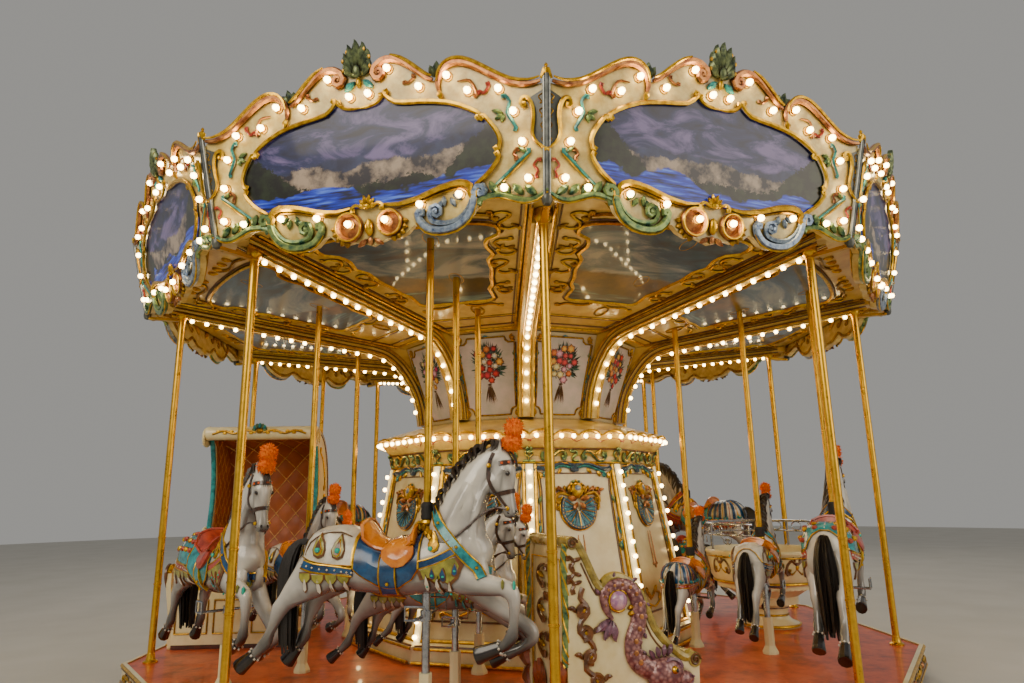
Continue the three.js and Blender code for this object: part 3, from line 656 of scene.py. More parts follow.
def swept(path, rings, up=None, closed=False):
    """A solid whose section follows a path. rings holds (across, over) points, for all stations or for
    each."""
    p = np.asarray(path, float)
    n = len(p)
    rings = np.asarray(rings, float)
    rings = np.broadcast_to(rings, (n,) + rings.shape[-2:])
    sides = rings.shape[1]
    ahead = unit(np.roll(p, -1, 0) - np.roll(p, 1, 0) if closed else np.gradient(p, axis=0))
    if up is not None:
        side = unit(np.cross(ahead, up))
    else:
        side = np.zeros((n, 3))
        start = np.cross(ahead[0], (0.3, 0.2, 0.93))
        side[0] = start / np.linalg.norm(start)
        for i in range(1, n):
            carried = side[i - 1] - ahead[i] * np.dot(side[i - 1], ahead[i])
            side[i] = carried / max(np.linalg.norm(carried), 1e-9)
    over = np.cross(side, ahead)
    points = p[:, None] + rings[:, :, :1] * side[:, None] + rings[:, :, 1:] * over[:, None]
    faces = walls(n, sides, closed)
    if not closed:
        faces.append(tuple(range(sides))[::-1])
        faces.append(tuple(range((n - 1) * sides, n * sides)))
    return points.reshape(-1, 3), faces


def tube(path, radius, sides=8, flat=1.0, up=None, closed=False):
    """A round bar along a path. radius may change along it. flat squeezes it over the surface that up
    leaves."""
    ring = circle(1, sides) * (1, flat)
    r = np.broadcast_to(np.asarray(radius, float), len(path))
    return swept(path, ring[None] * r[:, None, None], up, closed)


def turned(profile, sides=16, centre=(0, 0, 0), axis="z"):
    """A form turned about an axis from a profile of (radius, height)."""
    points = np.vstack([raised(circle(r, sides), h) for r, h in profile])
    faces = walls(len(profile), sides)
    last = (len(profile) - 1) * sides
    if profile[0][0] > 0:
        faces.append(tuple(range(sides))[::-1])
    if profile[-1][0] > 0:
        faces.append(tuple(range(last, last + sides)))
    if axis == "y":
        points = points[:, [0, 2, 1]] * (1, -1, 1)
    return points + np.asarray(centre, float), faces


def ball(centre, radius, rings=6, sides=10, squash=(1, 1, 1)):
    """A round bead, squashed along each axis."""
    slopes = np.linspace(0, math.pi, rings + 1)[1:-1]
    belt = [raised(circle(math.sin(t), sides), -math.cos(t)) for t in slopes]
    points = np.vstack([(0, 0, -1), *belt, (0, 0, 1)])
    top = len(points) - 1
    faces = [tuple(i + 1 for i in face) for face in walls(rings - 1, sides)]
    for j in range(sides):
        k = (j + 1) % sides
        faces.append((0, 1 + k, 1 + j))
        faces.append((top, top - sides + j, top - sides + k))
    return points * squash * radius + np.asarray(centre, float), faces


def plate(outline, low, high):
    """A flat plate with any outline of (u, v), from height low to height high."""
    p = np.asarray(outline, float)
    n = len(p)
    area = np.sum(p[:, 0] * np.roll(p[:, 1], -1) - np.roll(p[:, 0], -1) * p[:, 1])
    faces = []
    for a, b, c in tessellate_polygon([[Vector((x, y, 0)) for x, y in p]]):
        turn = (p[b][0] - p[a][0]) * (p[c][1] - p[a][1]) - (p[b][1] - p[a][1]) * (p[c][0] - p[a][0])
        if turn < 0:
            a, b, c = a, c, b
        faces.append((a + n, b + n, c + n))
        faces.append((c, b, a))
    for i in range(n):
        k = (i + 1) % n
        faces.append((i, k, k + n, i + n) if area > 0 else (k, i, i + n, k + n))
    return np.vstack([raised(p, low), raised(p, high)]), faces


def curl(at, heading, radius, turns=1.25, hand=1):
    """Points and centre of a volute that leaves a point along a heading and winds inwards. Hand 1 winds
    left."""
    at = np.asarray(at, float)
    heading = np.asarray(heading, float) / np.linalg.norm(heading)
    centre = at + hand * radius * np.array((-heading[1], heading[0]))
    start = math.atan2(*(at - centre)[::-1])
    t = np.linspace(0, 1, 5 + int(radius) // 9)[1:]
    a = start + hand * turns * 2 * math.pi * t
    r = radius * (1 - 0.72 * t)
    return np.column_stack([centre[0] + r * np.cos(a), centre[1] + r * np.sin(a)]), centre


def scroll(shape, points, thick, finish, curls=(0, 0), hands=(1, 1), height=8, flat=0.8, turns=1.25, steps=3):
    """A carved scroll on a panel: a curve that swells in its middle and winds into a volute at either end."""
    body = smooth(points, 2 if len(points) > 4 else steps)
    if curls[1]:
        tail, centre = curl(body[-1], body[-1] - body[-2], curls[1], turns, hands[1])
        body = np.vstack([body, tail])
        scroll_eye(shape, centre, height, curls[1], thick, finish)
    if curls[0]:
        tail, centre = curl(body[0], body[0] - body[1], curls[0], turns, hands[0])
        body = np.vstack([tail[::-1], body])
        scroll_eye(shape, centre, height, curls[0], thick, finish)
    t = np.linspace(0, 1, len(body))
    radius = thick * (0.45 + 0.55 * np.sin(math.pi * t) ** 0.7)
    sides = 6 if thick > 22 else 5 if thick > 12 else 4
    shape.line(body, height, radius, finish, sides, flat=flat)


def scroll_eye(shape, centre, height, size, thick, finish):
    """The bead in the middle of a volute."""
    shape.bead((*centre, height), max(size * 0.3, thick * 0.5), finish, 3, 6, (1, 1, 0.7))


def leaf(shape, base, angle, length, width, finish, height=6, lift=14, lobes=3, bend=0.0):
    """An acanthus leaf on a panel: lobed edges, a raised rib and a tip that lifts and bends to one side."""
    n = 2 * lobes + 2
    t = np.linspace(0, 1, n)
    direction = angle + bend * t
    along = np.column_stack([np.cos(direction), np.sin(direction)])
    rib = np.asarray(base, float) + np.cumsum(along, axis=0) * length / (n - 1)
    side = np.column_stack([-along[:, 1], along[:, 0]])
    saw = 0.72 + 0.28 * np.abs(np.sin(math.pi * lobes * t))
    half = width * np.sin(math.pi * np.clip(t * 0.93 + 0.05, 0, 1)) ** 0.8 * saw
    top = height + lift * np.sin(math.pi * t) + 0.6 * lift * t ** 2
    tucked = np.minimum(top, height) - TUCK
    rows = []
    for share, rise in ((-1, tucked), (-1, top - 0.4 * lift), (0, top + 0.3 * lift), (1, top - 0.4 * lift),
                        (1, tucked)):
        rows.append(np.column_stack([rib + side * (half * share)[:, None], rise]))
    shape.add((np.stack(rows, 1).reshape(-1, 3), net(n - 1, len(rows) - 1)), finish)


def lamp(shape, place, outward=OUTWARD, size=LAMP):
    """A lamp: a pressed socket and an opal globe, standing along outward from a place."""
    turn = np.array(Vector(OUTWARD).rotation_difference(Vector(outward).normalized()).to_matrix())
    globe = [(0.6, 0.5), (1, 1.15), (0.76, 1.95), (0.05, 2.22)]
    cup = [(0.9, -0.2), (0.75, 0.55)]
    for profile, finish in ((cup, "socket"), (globe, "lamp")):
        points, faces = turned([(r * size, h * size) for r, h in profile], 7)
        sides_only = [face for face in faces if len(face) == 4]
        shape.add((points @ turn.T + np.asarray(place, float), sides_only), finish)


# Rounding boards. Panel millimetres: u from the middle of the board, v up the slant from its foot

BOARD_HALF_LOW = 1150
BOARD_BACK = 50
BOARD_SIDE_LEAN = 0.074
BOARD_LAMPS = [
    (212, 960), (417, 807), (607, 843), (735, 727), (932, 705), (1015, 553), (1056, 362), (1076, 138),
    (67, 823), (923, 100), (631, 99), (365, 70), (130, 0),
]
CREST_OUTER = [
    (1192, 712), (1120, 704), (1010, 733), (900, 800), (800, 868), (720, 910), (650, 922), (590, 902),
    (552, 855), (538, 800), (546, 758),
]
CREST_INNER = [(508, 838), (460, 866), (385, 932), (310, 990), (240, 1022), (172, 1020), (118, 985)]
HEM_HALF = [
    (1196, 40), (1110, 4), (1040, -4), (960, 22), (880, 52), (800, 52), (738, 40), (705, -20), (640, -72),
    (560, -116), (480, -128), (400, -112), (340, -60), (300, -50), (250, -95), (180, -122), (120, -112),
    (60, -128), (0, -148),
]
PICTURE_HALF = [
    (0, 752), (90, 756), (165, 786), (260, 728), (420, 706), (600, 668), (740, 606), (808, 560), (880, 468),
    (905, 400), (888, 330), (872, 262), (815, 205), (742, 150), (640, 168), (500, 150), (360, 112), (220, 96),
    (110, 104), (0, 110),
]


def board_side(v):
    """Half the width of a board at a height."""
    return BOARD_HALF_LOW + BOARD_SIDE_LEAN * v


def closed_outline(right_half):
    """A whole outline from the points of its right half, listed from the top middle to the bottom middle."""
    return list(right_half) + [(-u, v) for u, v in reversed(right_half) if abs(u) > 1]


def board_crest(shape):
    """The double swan-neck crest: a rose lustre roll under a gold bead, with volutes beside the finial."""
    half = Shape()
    for line, volute, stop in ((CREST_OUTER, 0, -1), (CREST_INNER, 46, -2)):
        scroll(half, line, 25, "rose", (0, volute), height=16, flat=0.9)
        scroll(half, [(u, v + 20) for u, v in line[:stop]], 13, "gold", height=34, flat=0.9)
    scroll(half, [(1196, 722), (1216, 752), (1222, 784)], 15, "gold", height=18)
    leaf(half, (545, 770), DOWN + 0.2, 62, 20, "gold", 24, 10)
    for spread, length in ((-0.5, 82), (0, 96), (0.5, 82)):
        leaf(half, (520, 850), UP - 0.15 + spread, length, 24, "finial", -10)
    shape.pair(half)


def board_finial(shape):
    """An acanthus finial between the volutes: dark blue-green leaves with gilt tips and a gold bud."""
    for spread, length in ((-1.15, 120), (-0.75, 160), (-0.38, 190), (0, 205), (0.38, 190), (0.75, 160),
                           (1.15, 120)):
        angle = UP + spread
        leaf(shape, (0, 950), angle, length, 34, "finial", 14, 26, bend=-spread * 0.7)
        tip = (math.cos(angle) * length * 0.86, 950 + math.sin(angle) * length * 0.9, 30)
        shape.bead(tip, 13, "old_gold", 3, 6, (1, 1.3, 0.8))
    shape.bead((0, 975, 34), 34, "finial", 5, 9, (0.8, 1.3, 0.6))
    for side in (1, -1):
        leaf(shape, (side * 18, 930), DOWN + side * 0.9, 92, 24, "teal", 12, 16)
    shape.bead((0, 905, 18), 24, "gold", 5, 10, (0.7, 1.5, 0.6))


def board_frame(shape):
    """The gilt frame of the picture: rolled lines broken by small volutes, and a heavy roll below."""
    half = Shape()
    over = [(176, 800), (250, 738), (420, 714), (600, 678), (740, 614), (800, 572)]
    upper_end = [(828, 558), (885, 478), (915, 405), (905, 345)]
    lower_end = [(905, 305), (880, 260), (820, 200), (744, 148)]
    under = [(700, 104), (706, 140), (640, 172), (500, 152), (360, 112), (220, 92), (118, 104)]
    scroll(half, [(0, 742), (60, 744), (120, 760), (158, 790)], 13, "gold", (0, 16), (1, 1), 22)
    scroll(half, over, 16, "gold", (18, 20), (-1, -1), 24)
    scroll(half, upper_end, 15, "gold", (20, 17), (1, -1), 24)
    scroll(half, lower_end, 15, "gold", (17, 20), (1, 1), 24)
    scroll(half, under, 22, "gold", (26, 0), (1, 1), 26)
    scroll(half, [(690, 92), (640, 138), (500, 122), (360, 84), (200, 66)], 9, "old_gold", height=18)
    for spread in (0.25, 0.75, 1.25):
        leaf(half, (0, 96), UP - spread, 78 - 14 * spread, 17, "gold", 24, 12)
    scroll(half, [(20, 92), (78, 118), (112, 100)], 13, "gold", (0, 17), (1, -1), 30)
    shape.pair(half)
    shape.bead((0, 104, 34), 24, "gold", 5, 10, (1.2, 0.8, 0.7))


def hem_half(size, finish):
    """The right half of a hem: a boss of rose lustre round a lamp, a large sea scroll, then leaf scrolls."""
    half = Shape()
    x, y = 145, -14
    boss = [(1, 0), (0.98, 22), (0.86, 34), (0.74, 24), (0.66, 8), (0.45, 14), (0.3, 26), (6 / size, 28)]
    half.lathe([(size * r, h) for r, h in boss], "rose", 22, (x, y, 0))
    half.line(circle(size * 0.9, 22, (x, y)), 36, 8, "gold", closed=True)
    for k in range(5):
        a = DOWN + 0.2 + 0.34 * k
        rim = (x + size * 0.72 * math.cos(a), y + size * 0.72 * math.sin(a))
        leaf(half, rim, a, 52, 20, "old_gold", 10, 10, lobes=2)
    wave = [(726, 104), (716, 30), (672, -44), (590, -96), (490, -108), (404, -86), (352, -30), (340, 14)]
    crest = [(700, 60), (672, 4), (610, -50), (520, -66), (440, -46), (420, 0)]
    edge = [(742, 90), (734, 20), (690, -64), (600, -122), (480, -134), (386, -108), (330, -44)]
    scroll(half, wave, 30, finish, (40, 22), (-1, -1), 18, 0.9)
    scroll(half, crest, 18, finish, (0, 48), (1, -1), 22, turns=1.4)
    scroll(half, edge, 9, "gold", height=26)
    for u, v, a in ((600, 20, 2.0), (520, 30, 1.5), (470, 20, 0.9), (650, 66, 2.6)):
        leaf(half, (u, v), a, 66, 18, finish, 14, 12)
    outer = [(1190, 62), (1120, 18), (1040, 10), (960, 38), (880, 66), (800, 62), (752, 50)]
    scroll(half, outer, 21, "green", (0, 16), (1, 1), 14)
    scroll(half, [(1190, 44), (1120, 2), (1040, -6), (960, 20), (880, 48), (800, 46)], 8, "gold", height=20)
    for k in range(4):
        leaf(half, (1124 - 82 * k, 26 + 12 * k), UP + 0.8 - 0.1 * k, 92, 26, "green", 12, 16)
    leaf(half, (10, -96), DOWN + 1.0, 84, 18, "rose", 10, 12)
    return half


def board_hem(shape):
    """The hem: silver blue on its right half and sea green on its left, with a gilt bead between."""
    shape.join(hem_half(90, "silver_blue"))
    shape.mirror(hem_half(100, "green"))
    shape.bead((0, -30, 20), 50, "gold", 6, 12, (0.62, 1.15, 0.5))
    shape.bead((0, -118, 14), 22, "rose", 5, 10, (0.9, 1.2, 0.6))


def board_corner(shape):
    """Beside each corner: a gilt line round a slate lantern panel, a teal ribbon, a reed and small curls."""
    half = Shape()
    recess = [(1218, 668), (1130, 630), (1105, 600), (1128, 500), (1118, 400), (1152, 335), (1210, 290)]
    half.add(plate(recess, 1, 5), "slate")
    lantern = [(1062, 590), (1072, 622), (1108, 620), (1134, 560), (1132, 480), (1120, 400), (1150, 338),
               (1218, 288)]
    scroll(half, lantern, 15, "gold", (18, 0), (1, 1), 20)
    for v in (640, 555, 470, 385):
        scroll(half, [(1206, v), (1172, v - 18), (1190, v - 50)], 4, "old_gold", (9, 9), (1, -1), 7,
               turns=0.9)
    ribbon = [(965, 664), (992, 620), (972, 560), (1000, 500), (1024, 452)]
    scroll(half, ribbon, 11, "teal", (14, 12), (1, -1), 14)
    for a, length in ((0.3, 70), (-0.5, 62), (-1.2, 54)):
        leaf(half, (952, 560), math.pi - a, length, 16, "green", 8, 10)
    scroll(half, [(1094, 300), (1040, 262), (960, 200), (880, 140), (836, 108)], 10, "teal", (12, 0), (1, 1),
           14)
    scroll(half, [(1098, 286), (1046, 246), (970, 184), (896, 126)], 6, "gold", height=16)
    leaf(half, (1080, 292), UP + 0.9, 62, 13, "green", 12, 8)
    leaf(half, (900, 150), DOWN + 0.6, 60, 12, "green", 12, 8)
    scroll(half, [(1142, 250), (1112, 214), (1136, 180), (1118, 150)], 8, "red", (13, 11), (-1, 1), 12)
    scroll(half, [(872, 742), (836, 700), (808, 716)], 10, "red", (14, 14), (1, 1), 12)
    scroll(half, [(1012, 330), (992, 300), (1010, 280)], 9, "rose", (13, 13), (-1, -1), 12)
    scroll(half, [(384, 876), (340, 850), (322, 862)], 9, "rose", (14, 12), (1, 1), 12)
    scroll(half, [(790, 700), (752, 790), (668, 800)], 10, "rose", (14, 0), (-1, 1), 12)
    shape.pair(half)


def board_back(shape):
    """The inside of a board, over the deck: gilt scrolls and leaves along a rolled edge."""
    half = Shape()
    scroll(half, [(u, v + 30) for u, v in HEM_HALF[1::2]], 15, "old_gold", height=6)
    for u, v, hand in ((1010, 150, 1), (700, 110, -1), (400, 60, 1)):
        wave = [(u - 90, v), (u - 40, v + 70 * hand), (u + 50, v + 50 * hand), (u + 84, v)]
        scroll(half, wave, 14, "old_gold", (30, 26), (-hand, -hand), 5)
        leaf(half, (u, v + 20), UP - 1.1, 110, 26, "gold", 3, lobes=2)
    leaf(half, (60, 40), UP - 0.8, 130, 30, "gold", 3, 16, lobes=2)
    upper = [(1150, 630), (900, 720), (620, 810), (420, 810), (240, 890), (40, 890)]
    scroll(half, upper, 12, "old_gold", height=5)
    inside = Shape()
    inside.pair(half)
    shape.join(inside, np.diag((1, 1, -1)), (0, 0, -BOARD_BACK))


def build_boards():
    """Ten shaped boards with their carving, lamps and pictures."""
    shape = Shape()
    crest = [(0, 1010)] + [(u, v - 4) for u, v in CREST_INNER[::-1] + CREST_OUTER[::-1][3:-1]]
    sides = [(board_side(v), v) for v in (700, 500, 300, 120)]
    shape.add(plate(closed_outline(crest + sides + HEM_HALF), -BOARD_BACK, 0), "ivory")
    for carve in (board_crest, board_finial, board_frame, board_hem, board_corner, board_back):
        carve(shape)
    for u, v in BOARD_LAMPS + [(-u, v) for u, v in BOARD_LAMPS]:
        rise = 26 if v < 20 else 2
        shape.lathe([(34, 0), (32, 7)], "old_gold", 8, (u, v, rise - 2))
        lamp(shape, (u, v, rise))
    places = facets(BOARD_LOW, BOARD_HIGH)
    repeated("rounding_board_dress", shape, places, "rounding_board")
    build_pictures("board_picture", PICTURE_HALF, "picture", 8, places)


def build_pictures(name, right_half, finish, height, places):
    """Painted panels, one for each section. Their own coordinates run from 0 to 1 up the panel."""
    curve = smooth(closed_outline(right_half), 3, closed=True)
    points, faces = plate(curve, height - 6, height)
    low, high = curve[:, 1].min(), curve[:, 1].max()
    for s, place in enumerate(places):
        shape = Shape()
        shape.add((points, faces), finish)
        made = piece(f"{name}_{s}", shape, "rotor", place)
        layer = made.data.uv_layers.new(name="panel")
        for corner in made.data.loops:
            u, v, _ = points[corner.vertex_index]
            layer.data[corner.index].uv = (u / (high - low), (v - low) / (high - low))
        made.pass_index = s


# Corner strips, rim poles and sweeps. Spoke millimetres: x outward, y sideways, z up


def board_corner_r(z):
    """Corner radius of the boards' outer faces at a height."""
    lean = (BOARD_HIGH[0] - BOARD_LOW[0]) / (BOARD_HIGH[1] - BOARD_LOW[1])
    return BOARD_LOW[0] + lean * (z - BOARD_LOW[1])


def build_rim_poles():
    """A brass pole with a turned foot and head, and above it the strip over the joint of two boards."""
    shape = Shape()
    pole = (RIM_POLE_RING, 0, 0)
    foot = [(62, 0), (62, 10), (54, 16), (40, 24), (36, 44), (33, 60), (33, 74), (30, 78)]
    head = [(30, 3060), (35, 3066), (35, 3080), (48, 3092), (56, 3110), (56, 3164), (40, 3168)]
    shape.lathe([(r, h + FLOOR_TOP + 0.5) for r, h in foot + head], "brass", 24, pole)
    for z in (900, 1300):
        shape.lathe([(30, z - 9), (34, z - 6), (34, z + 6), (30, z + 9)], "brass", 20, pole)
    strip = [(board_corner_r(z) + 11, 0, z) for z in (3330, 3706, 4082)]
    section = [(-23, -8), (23, -8), (23, 5), (17, 9), (-17, 9), (-23, 5)]
    shape.add(swept(strip, section, up=(1, 0, -0.24)), "grey_metal")
    for y in (12, -12):
        shape.bar([(x + 10, y, z) for x, _, z in strip], 3.5, "steel", 6)
    knob = [(8, -66), (30, -58), (42, -36), (44, -12), (34, 8), (42, 20), (30, 34), (8, 40)]
    knob_z = 3378
    shape.lathe([(r * 0.8, z + knob_z) for r, z in knob], "slate", 16, (board_corner_r(knob_z) - 6, 0, 0))
    link_z = 3326
    link = [(RIM_POLE_RING + 20, 0, link_z), (board_corner_r(link_z) - 8, 0, link_z)]
    shape.add(swept(link, [(-22, -12), (22, -12), (22, 12), (-22, 12)], up=OUTWARD), "brass")
    tip = [(14, 0), (24, 14), (26, 30), (14, 44), (9, 54), (14, 62), (4, 76)]
    tip_z = 4080
    shape.lathe([(r * 0.9, z + tip_z) for r, z in tip], "gold", 14, (board_corner_r(tip_z) + 4, 0, 0))
    repeated("rim_pole_dress", shape, spokes(), "rim_pole")


def sweep_straight(r, rise=0):
    """Height of a sweep's straight underside at a radius."""
    return SWEEP_BEND[1] + SWEEP_SLOPE * (r - SWEEP_BEND[0]) + rise


def sweep_line(rise, start=SWEEP_TIP_R):
    """The sweep's underside as (r, z), moved into the beam by rise, from near the rim to the cornice."""
    curve = smooth([(1900, sweep_straight(1900)), SWEEP_BEND] + SWEEP_CURVE, 3)
    line = np.vstack([(start, sweep_straight(start)), curve])
    along = unit(np.gradient(line, axis=0))
    return line + np.column_stack([along[:, 1], -along[:, 0]]) * rise


def sweep_lamp_places():
    """Lamps hang at an even pitch along the straight, then closer round the bend and down the pilaster."""
    places = [((r, 0, sweep_straight(r)), (0.14, 0, -1)) for r in np.linspace(3405, SWEEP_BEND[0], 14)]
    line = [SWEEP_BEND] + SWEEP_CURVE
    for before, (x, z), after in zip(line, line[1:], line[2:]):
        places.append(((x, 0, z), (before[1] - after[1], 0, after[0] - before[0])))
    return places


def build_sweeps():
    """Gilt and brown lines along both cheeks of a sweep, and its ivory rail of lamps."""
    shape = Shape()
    for side in (1, -1):
        for rise, radius, finish, out in ((6, 9, "gold", 4), (24, 5, "brown", 1), (44, 10, "glow_cream", 2),
                                          (62, 5, "brown", 1), (86, 12, "gold", 3)):
            cheek = [(r, side * (SWEEP_HALF + out), z) for r, z in sweep_line(rise)]
            shape.bar(cheek, radius, finish, 5 if radius > 8 else 4)
    rail_start = 3450
    rail = [(r, 0, z) for r, z in sweep_line(-4, rail_start)]
    section = [(-44, -6), (44, -6), (44, 4), (30, 9), (-30, 9), (-44, 4)]
    shape.add(swept(rail, section, up=(0.14, 0, -1)), "ivory")
    for y in (38, -38):
        shape.bar([(r, y, z) for r, z in sweep_line(-12, rail_start)], 5, "gold", 4)
    for place, outward in sweep_lamp_places():
        lamp(shape, place, outward, SMALL_LAMP)
    repeated("sweep_dress", shape, spokes())


# Ceiling. Panel millimetres: u sideways, v from the drum outward, w down

CEILING_RISE = 100
CEILING_SLANT = 1.011
CEILING_LOW = (1380, sweep_straight(1380, CEILING_RISE))
CEILING_HIGH = (3640, sweep_straight(3640, CEILING_RISE))
CEILING_PANEL = [
    (0, 1965), (300, 1955), (560, 1925), (700, 1860), (690, 1740), (590, 1690), (548, 1590), (566, 1470),
    (500, 1390), (482, 1240), (430, 1100), (404, 980), (352, 900), (344, 740), (270, 690), (120, 700),
    (0, 684),
]
CEILING_HOOK = [(-74, 40), (-60, 96), (10, 112), (62, 78), (20, 34), (-40, 0), (-58, -52), (0, -84),
                (64, -70)]


def ceiling_half(v):
    """Half the clear width of the ceiling between two sweeps."""
    return 351 + 0.323 * v


def ceiling_carving():
    """The right half of a ceiling section: a gilt edge, large hooks with leaves, and scrolls at either
    end."""
    half = Shape()
    half.line([(ceiling_half(v) - 34, v) for v in (60, 600, 1200, 1800, 2110)], 6, 13, "gold", 5)
    half.line([(ceiling_half(v) - 70, v) for v in (130, 600, 1200, 1800, 2060)], 4, 6, "brown")
    for v, size, turn in ((1880, 1.1, 1), (1560, 1.15, -1), (1240, 1.1, 1), (900, 0.9, -1)):
        mid = (ceiling_half(v) - 80 + np.interp(v, [684, 1100, 1470, 1900], [345, 430, 560, 690])) / 2
        hook = [(mid + x * size * 0.9, v + y * size * turn) for x, y in CEILING_HOOK]
        scroll(half, hook, 12, "gold", (17, 20), (turn, -turn), 9)
        leaf(half, (mid - 10, v + 46 * turn), UP + 1.2 * turn, 74, 17, "old_gold", 3, lobes=2)
        leaf(half, (mid + 16, v - 30 * turn), DOWN + 0.9 * turn, 70, 16, "old_gold", 3, 12, lobes=2)
        half.bead((mid + 34, v + 64 * turn, 6), 11, "gold", 3, 6, (1, 1, 0.7))
    scroll(half, [(60, 640), (150, 600), (280, 610), (340, 560)], 12, "gold", (24, 22), (-1, 1), 8)
    scroll(half, [(700, 1990), (560, 2030), (360, 2010), (240, 2050)], 14, "old_gold", (26, 26), (1, -1), 10)
    for k in range(4):
        leaf(half, (150 + 130 * k, 2030), UP + 0.4 - 0.1 * k, 80, 22, "gold", 2, 16, lobes=2)
    return half


def build_ceiling():
    """Ten coffered sections with a gilt frame round a painted panel, and rims round the horse poles'
    slots."""
    shape = Shape()
    panel = smooth(closed_outline(CEILING_PANEL), 2, closed=True)
    shape.line(panel, 8, 17, "gold", 5, closed=True)
    middle = 1320
    outer = np.column_stack([panel[:, 0] * 1.055, (panel[:, 1] - middle) * 1.045 + middle])
    shape.line(outer, 6, 6, "brown", 4, closed=True)
    shape.pair(ceiling_carving())
    for v, radius, finish in ((330, 9, "brown"), (346, 6, "gold"), (150, 7, "brown"), (60, 12, "gold")):
        half = ceiling_half(v) - 30
        shape.line([(-half, v), (half, v)], 4, radius, finish)
    for radius, _ in ROWS.values():
        u = radius * math.sin(POLE_LEAD)
        v = (radius * math.cos(POLE_LEAD) - CEILING_LOW[0] * math.cos(HALF)) * CEILING_SLANT
        slot = [(54 * x + u, (92 if abs(y) > 0.5 else 80) * y + v) for x, y in circle(1, 14)]
        shape.line(slot, 3, 9, "old_gold", 4, closed=True)
    places = facets(CEILING_LOW, CEILING_HIGH)
    repeated("ceiling_dress", shape, places)
    build_pictures("ceiling_picture", CEILING_PANEL, "ceiling_picture", 9, places)


# Drum facets. Panel millimetres: u sideways, v up the slant, w outward

UPPER_PANEL = [
    (0, 808), (186, 808), (196, 776), (224, 752), (286, 746), (270, 560), (248, 330), (240, 130), (206, 116),
    (186, 92), (178, 52), (0, 48),
]
BLOOMS = {
    "warm": ["A8201A", "C23A22", "E07A2A", "B02A34", "F0E2C0", "E8A03A"],
    "pink": ["C22A6A", "E0702A", "F0A040", "E098B0", "F0D890", "B83A3A"],
}
STEMS = ["6A4220", "7E5428", "4E3A1C", "8A6430"]
BLADES = ["16301C", "24482C", "3E6A5A", "10240F", "4E7258"]
BUDS = ["2E5A36", "5A8466", "E8D6B0"]
CORNICE_HALF = 482
CORNICE_WAVES = 4
CORNICE_LAMPS = 8
DRUM_CORNER_LAMPS = 12


def shade(code, share):
    """A colour code made darker or lighter."""
    return "".join(f"{min(255, round(int(code[k:k + 2], 16) * share)):02X}" for k in (0, 2, 4))


def bloom(shape, centre, size, tint, draw):
    """A painted rose: three rounds of petals, each a little over the one before and lighter than it."""
    for share, petals, height, light in ((1, 6, 4, 0.55), (0.76, 6, 6, 1.0), (0.44, 5, 8, 1.35)):
        turn = draw.uniform(0, 6)
        count = petals * 3
        rim = []
        for i in range(count):
            a = turn + 2 * math.pi * i / count
            r = size * share * (0.84 + 0.16 * math.cos(petals * (a - turn)))
            rim.append((centre[0] + r * math.cos(a), centre[1] + r * math.sin(a), height))
        faces = [(0, i + 1, (i + 1) % count + 1) for i in range(count)]
        shape.add(([(*centre, height + 2)] + rim, faces), "petals", shade(tint, light))


def spray(shape, base, tip, width, tint, height=3):
    """A painted leaf or blade: one brush stroke from base to tip."""
    base, tip = np.array(base, float), np.array(tip, float)
    along = tip - base
    side = np.array([-along[1], along[0]]) / max(np.linalg.norm(along), 1e-6) * width
    middle = base + along * 0.45
    shape.add((raised([base, middle + side, tip, middle - side], height), [(0, 3, 2, 1)]), "petals", tint)


def bouquet(shape, mood, draw):
    """A tied bouquet: stems, blades, flowers that lie clear of each other, and buds between them."""
    for _ in range(30):
        x = draw.uniform(-1, 1)
        spray(shape, (x * 16, 346), (x * 66, draw.uniform(142, 200)), 4.5, draw.choice(STEMS), 2)
    for _ in range(120):
        a = draw.uniform(-0.7, math.pi + 0.7)
        reach = draw.uniform(0.55, 1.12)
        tip = (184 * reach * math.cos(a), 560 + 212 * reach * math.sin(a))
        root = (tip[0] * 0.5, 510 + (tip[1] - 510) * 0.5)
        spray(shape, root, tip, draw.uniform(7, 13), draw.choice(BLADES))
    flowers = 17
    for i in range(flowers):
        a, reach = i * EVEN_TURN + 0.3, 0.94 * math.sqrt((i + 0.35) / flowers)
        centre = (146 * reach * math.cos(a), 556 + 184 * reach * math.sin(a))
        tint = draw.choice(BLOOMS[mood])
        bloom(shape, centre, draw.uniform(34, 52), tint, draw)
    for _ in range(40):
        a, reach = draw.uniform(0, 2 * math.pi), draw.uniform(0.2, 1.05)
        spot = np.array((132 * reach * math.cos(a), 556 + 176 * reach * math.sin(a)))
        spray(shape, spot, spot + (draw.uniform(-22, 22), draw.uniform(8, 30)), 6, draw.choice(BUDS), 5)
    spray(shape, (-26, 350), (26, 350), 12, "5A3A1A", 6)


def build_upper_drum():
    """Ten lilac panels with painted bouquets, gilt leaves at their corners and teal curls at their sides."""
    carving = Shape()
    for u, v, a in ((236, 778, 0.4), (222, 92, -0.5)):
        for spread in (-0.6, 0, 0.6):
            leaf(carving, (u, v), a - spread, 52, 14, "gold", 6, 10, lobes=2)
    for v in (610, 420, 240):
        curve = [(238 + 0.05 * v, v + 44), (292, v + 10), (262, v - 30)]
        scroll(carving, curve, 6, "teal", (10, 10), (-1, 1), 6)
        leaf(carving, (280, v), UP + 0.5, 40, 9, "green", 4, 6, lobes=2)
    outline = closed_outline(UPPER_PANEL)
    for s, place in enumerate(facets(UPPER_LOW, UPPER_HIGH)):
        shape = Shape()
        shape.add(plate(outline, -6, 1), "lilac")
        bouquet(shape, "warm" if s % 2 else "pink", random.Random(40 + s))
        shape.line(outline, 4, 9, "old_gold", closed=True)
        shape.line([(u * 1.05, v) for u, v in outline], 2, 5, "brown", closed=True)
        shape.pair(carving)
        spray(shape, (-30, 822), (30, 822), 10, "3F8FA0", 6)
        piece(f"flower_panel_{s}", shape, "rotor", place)


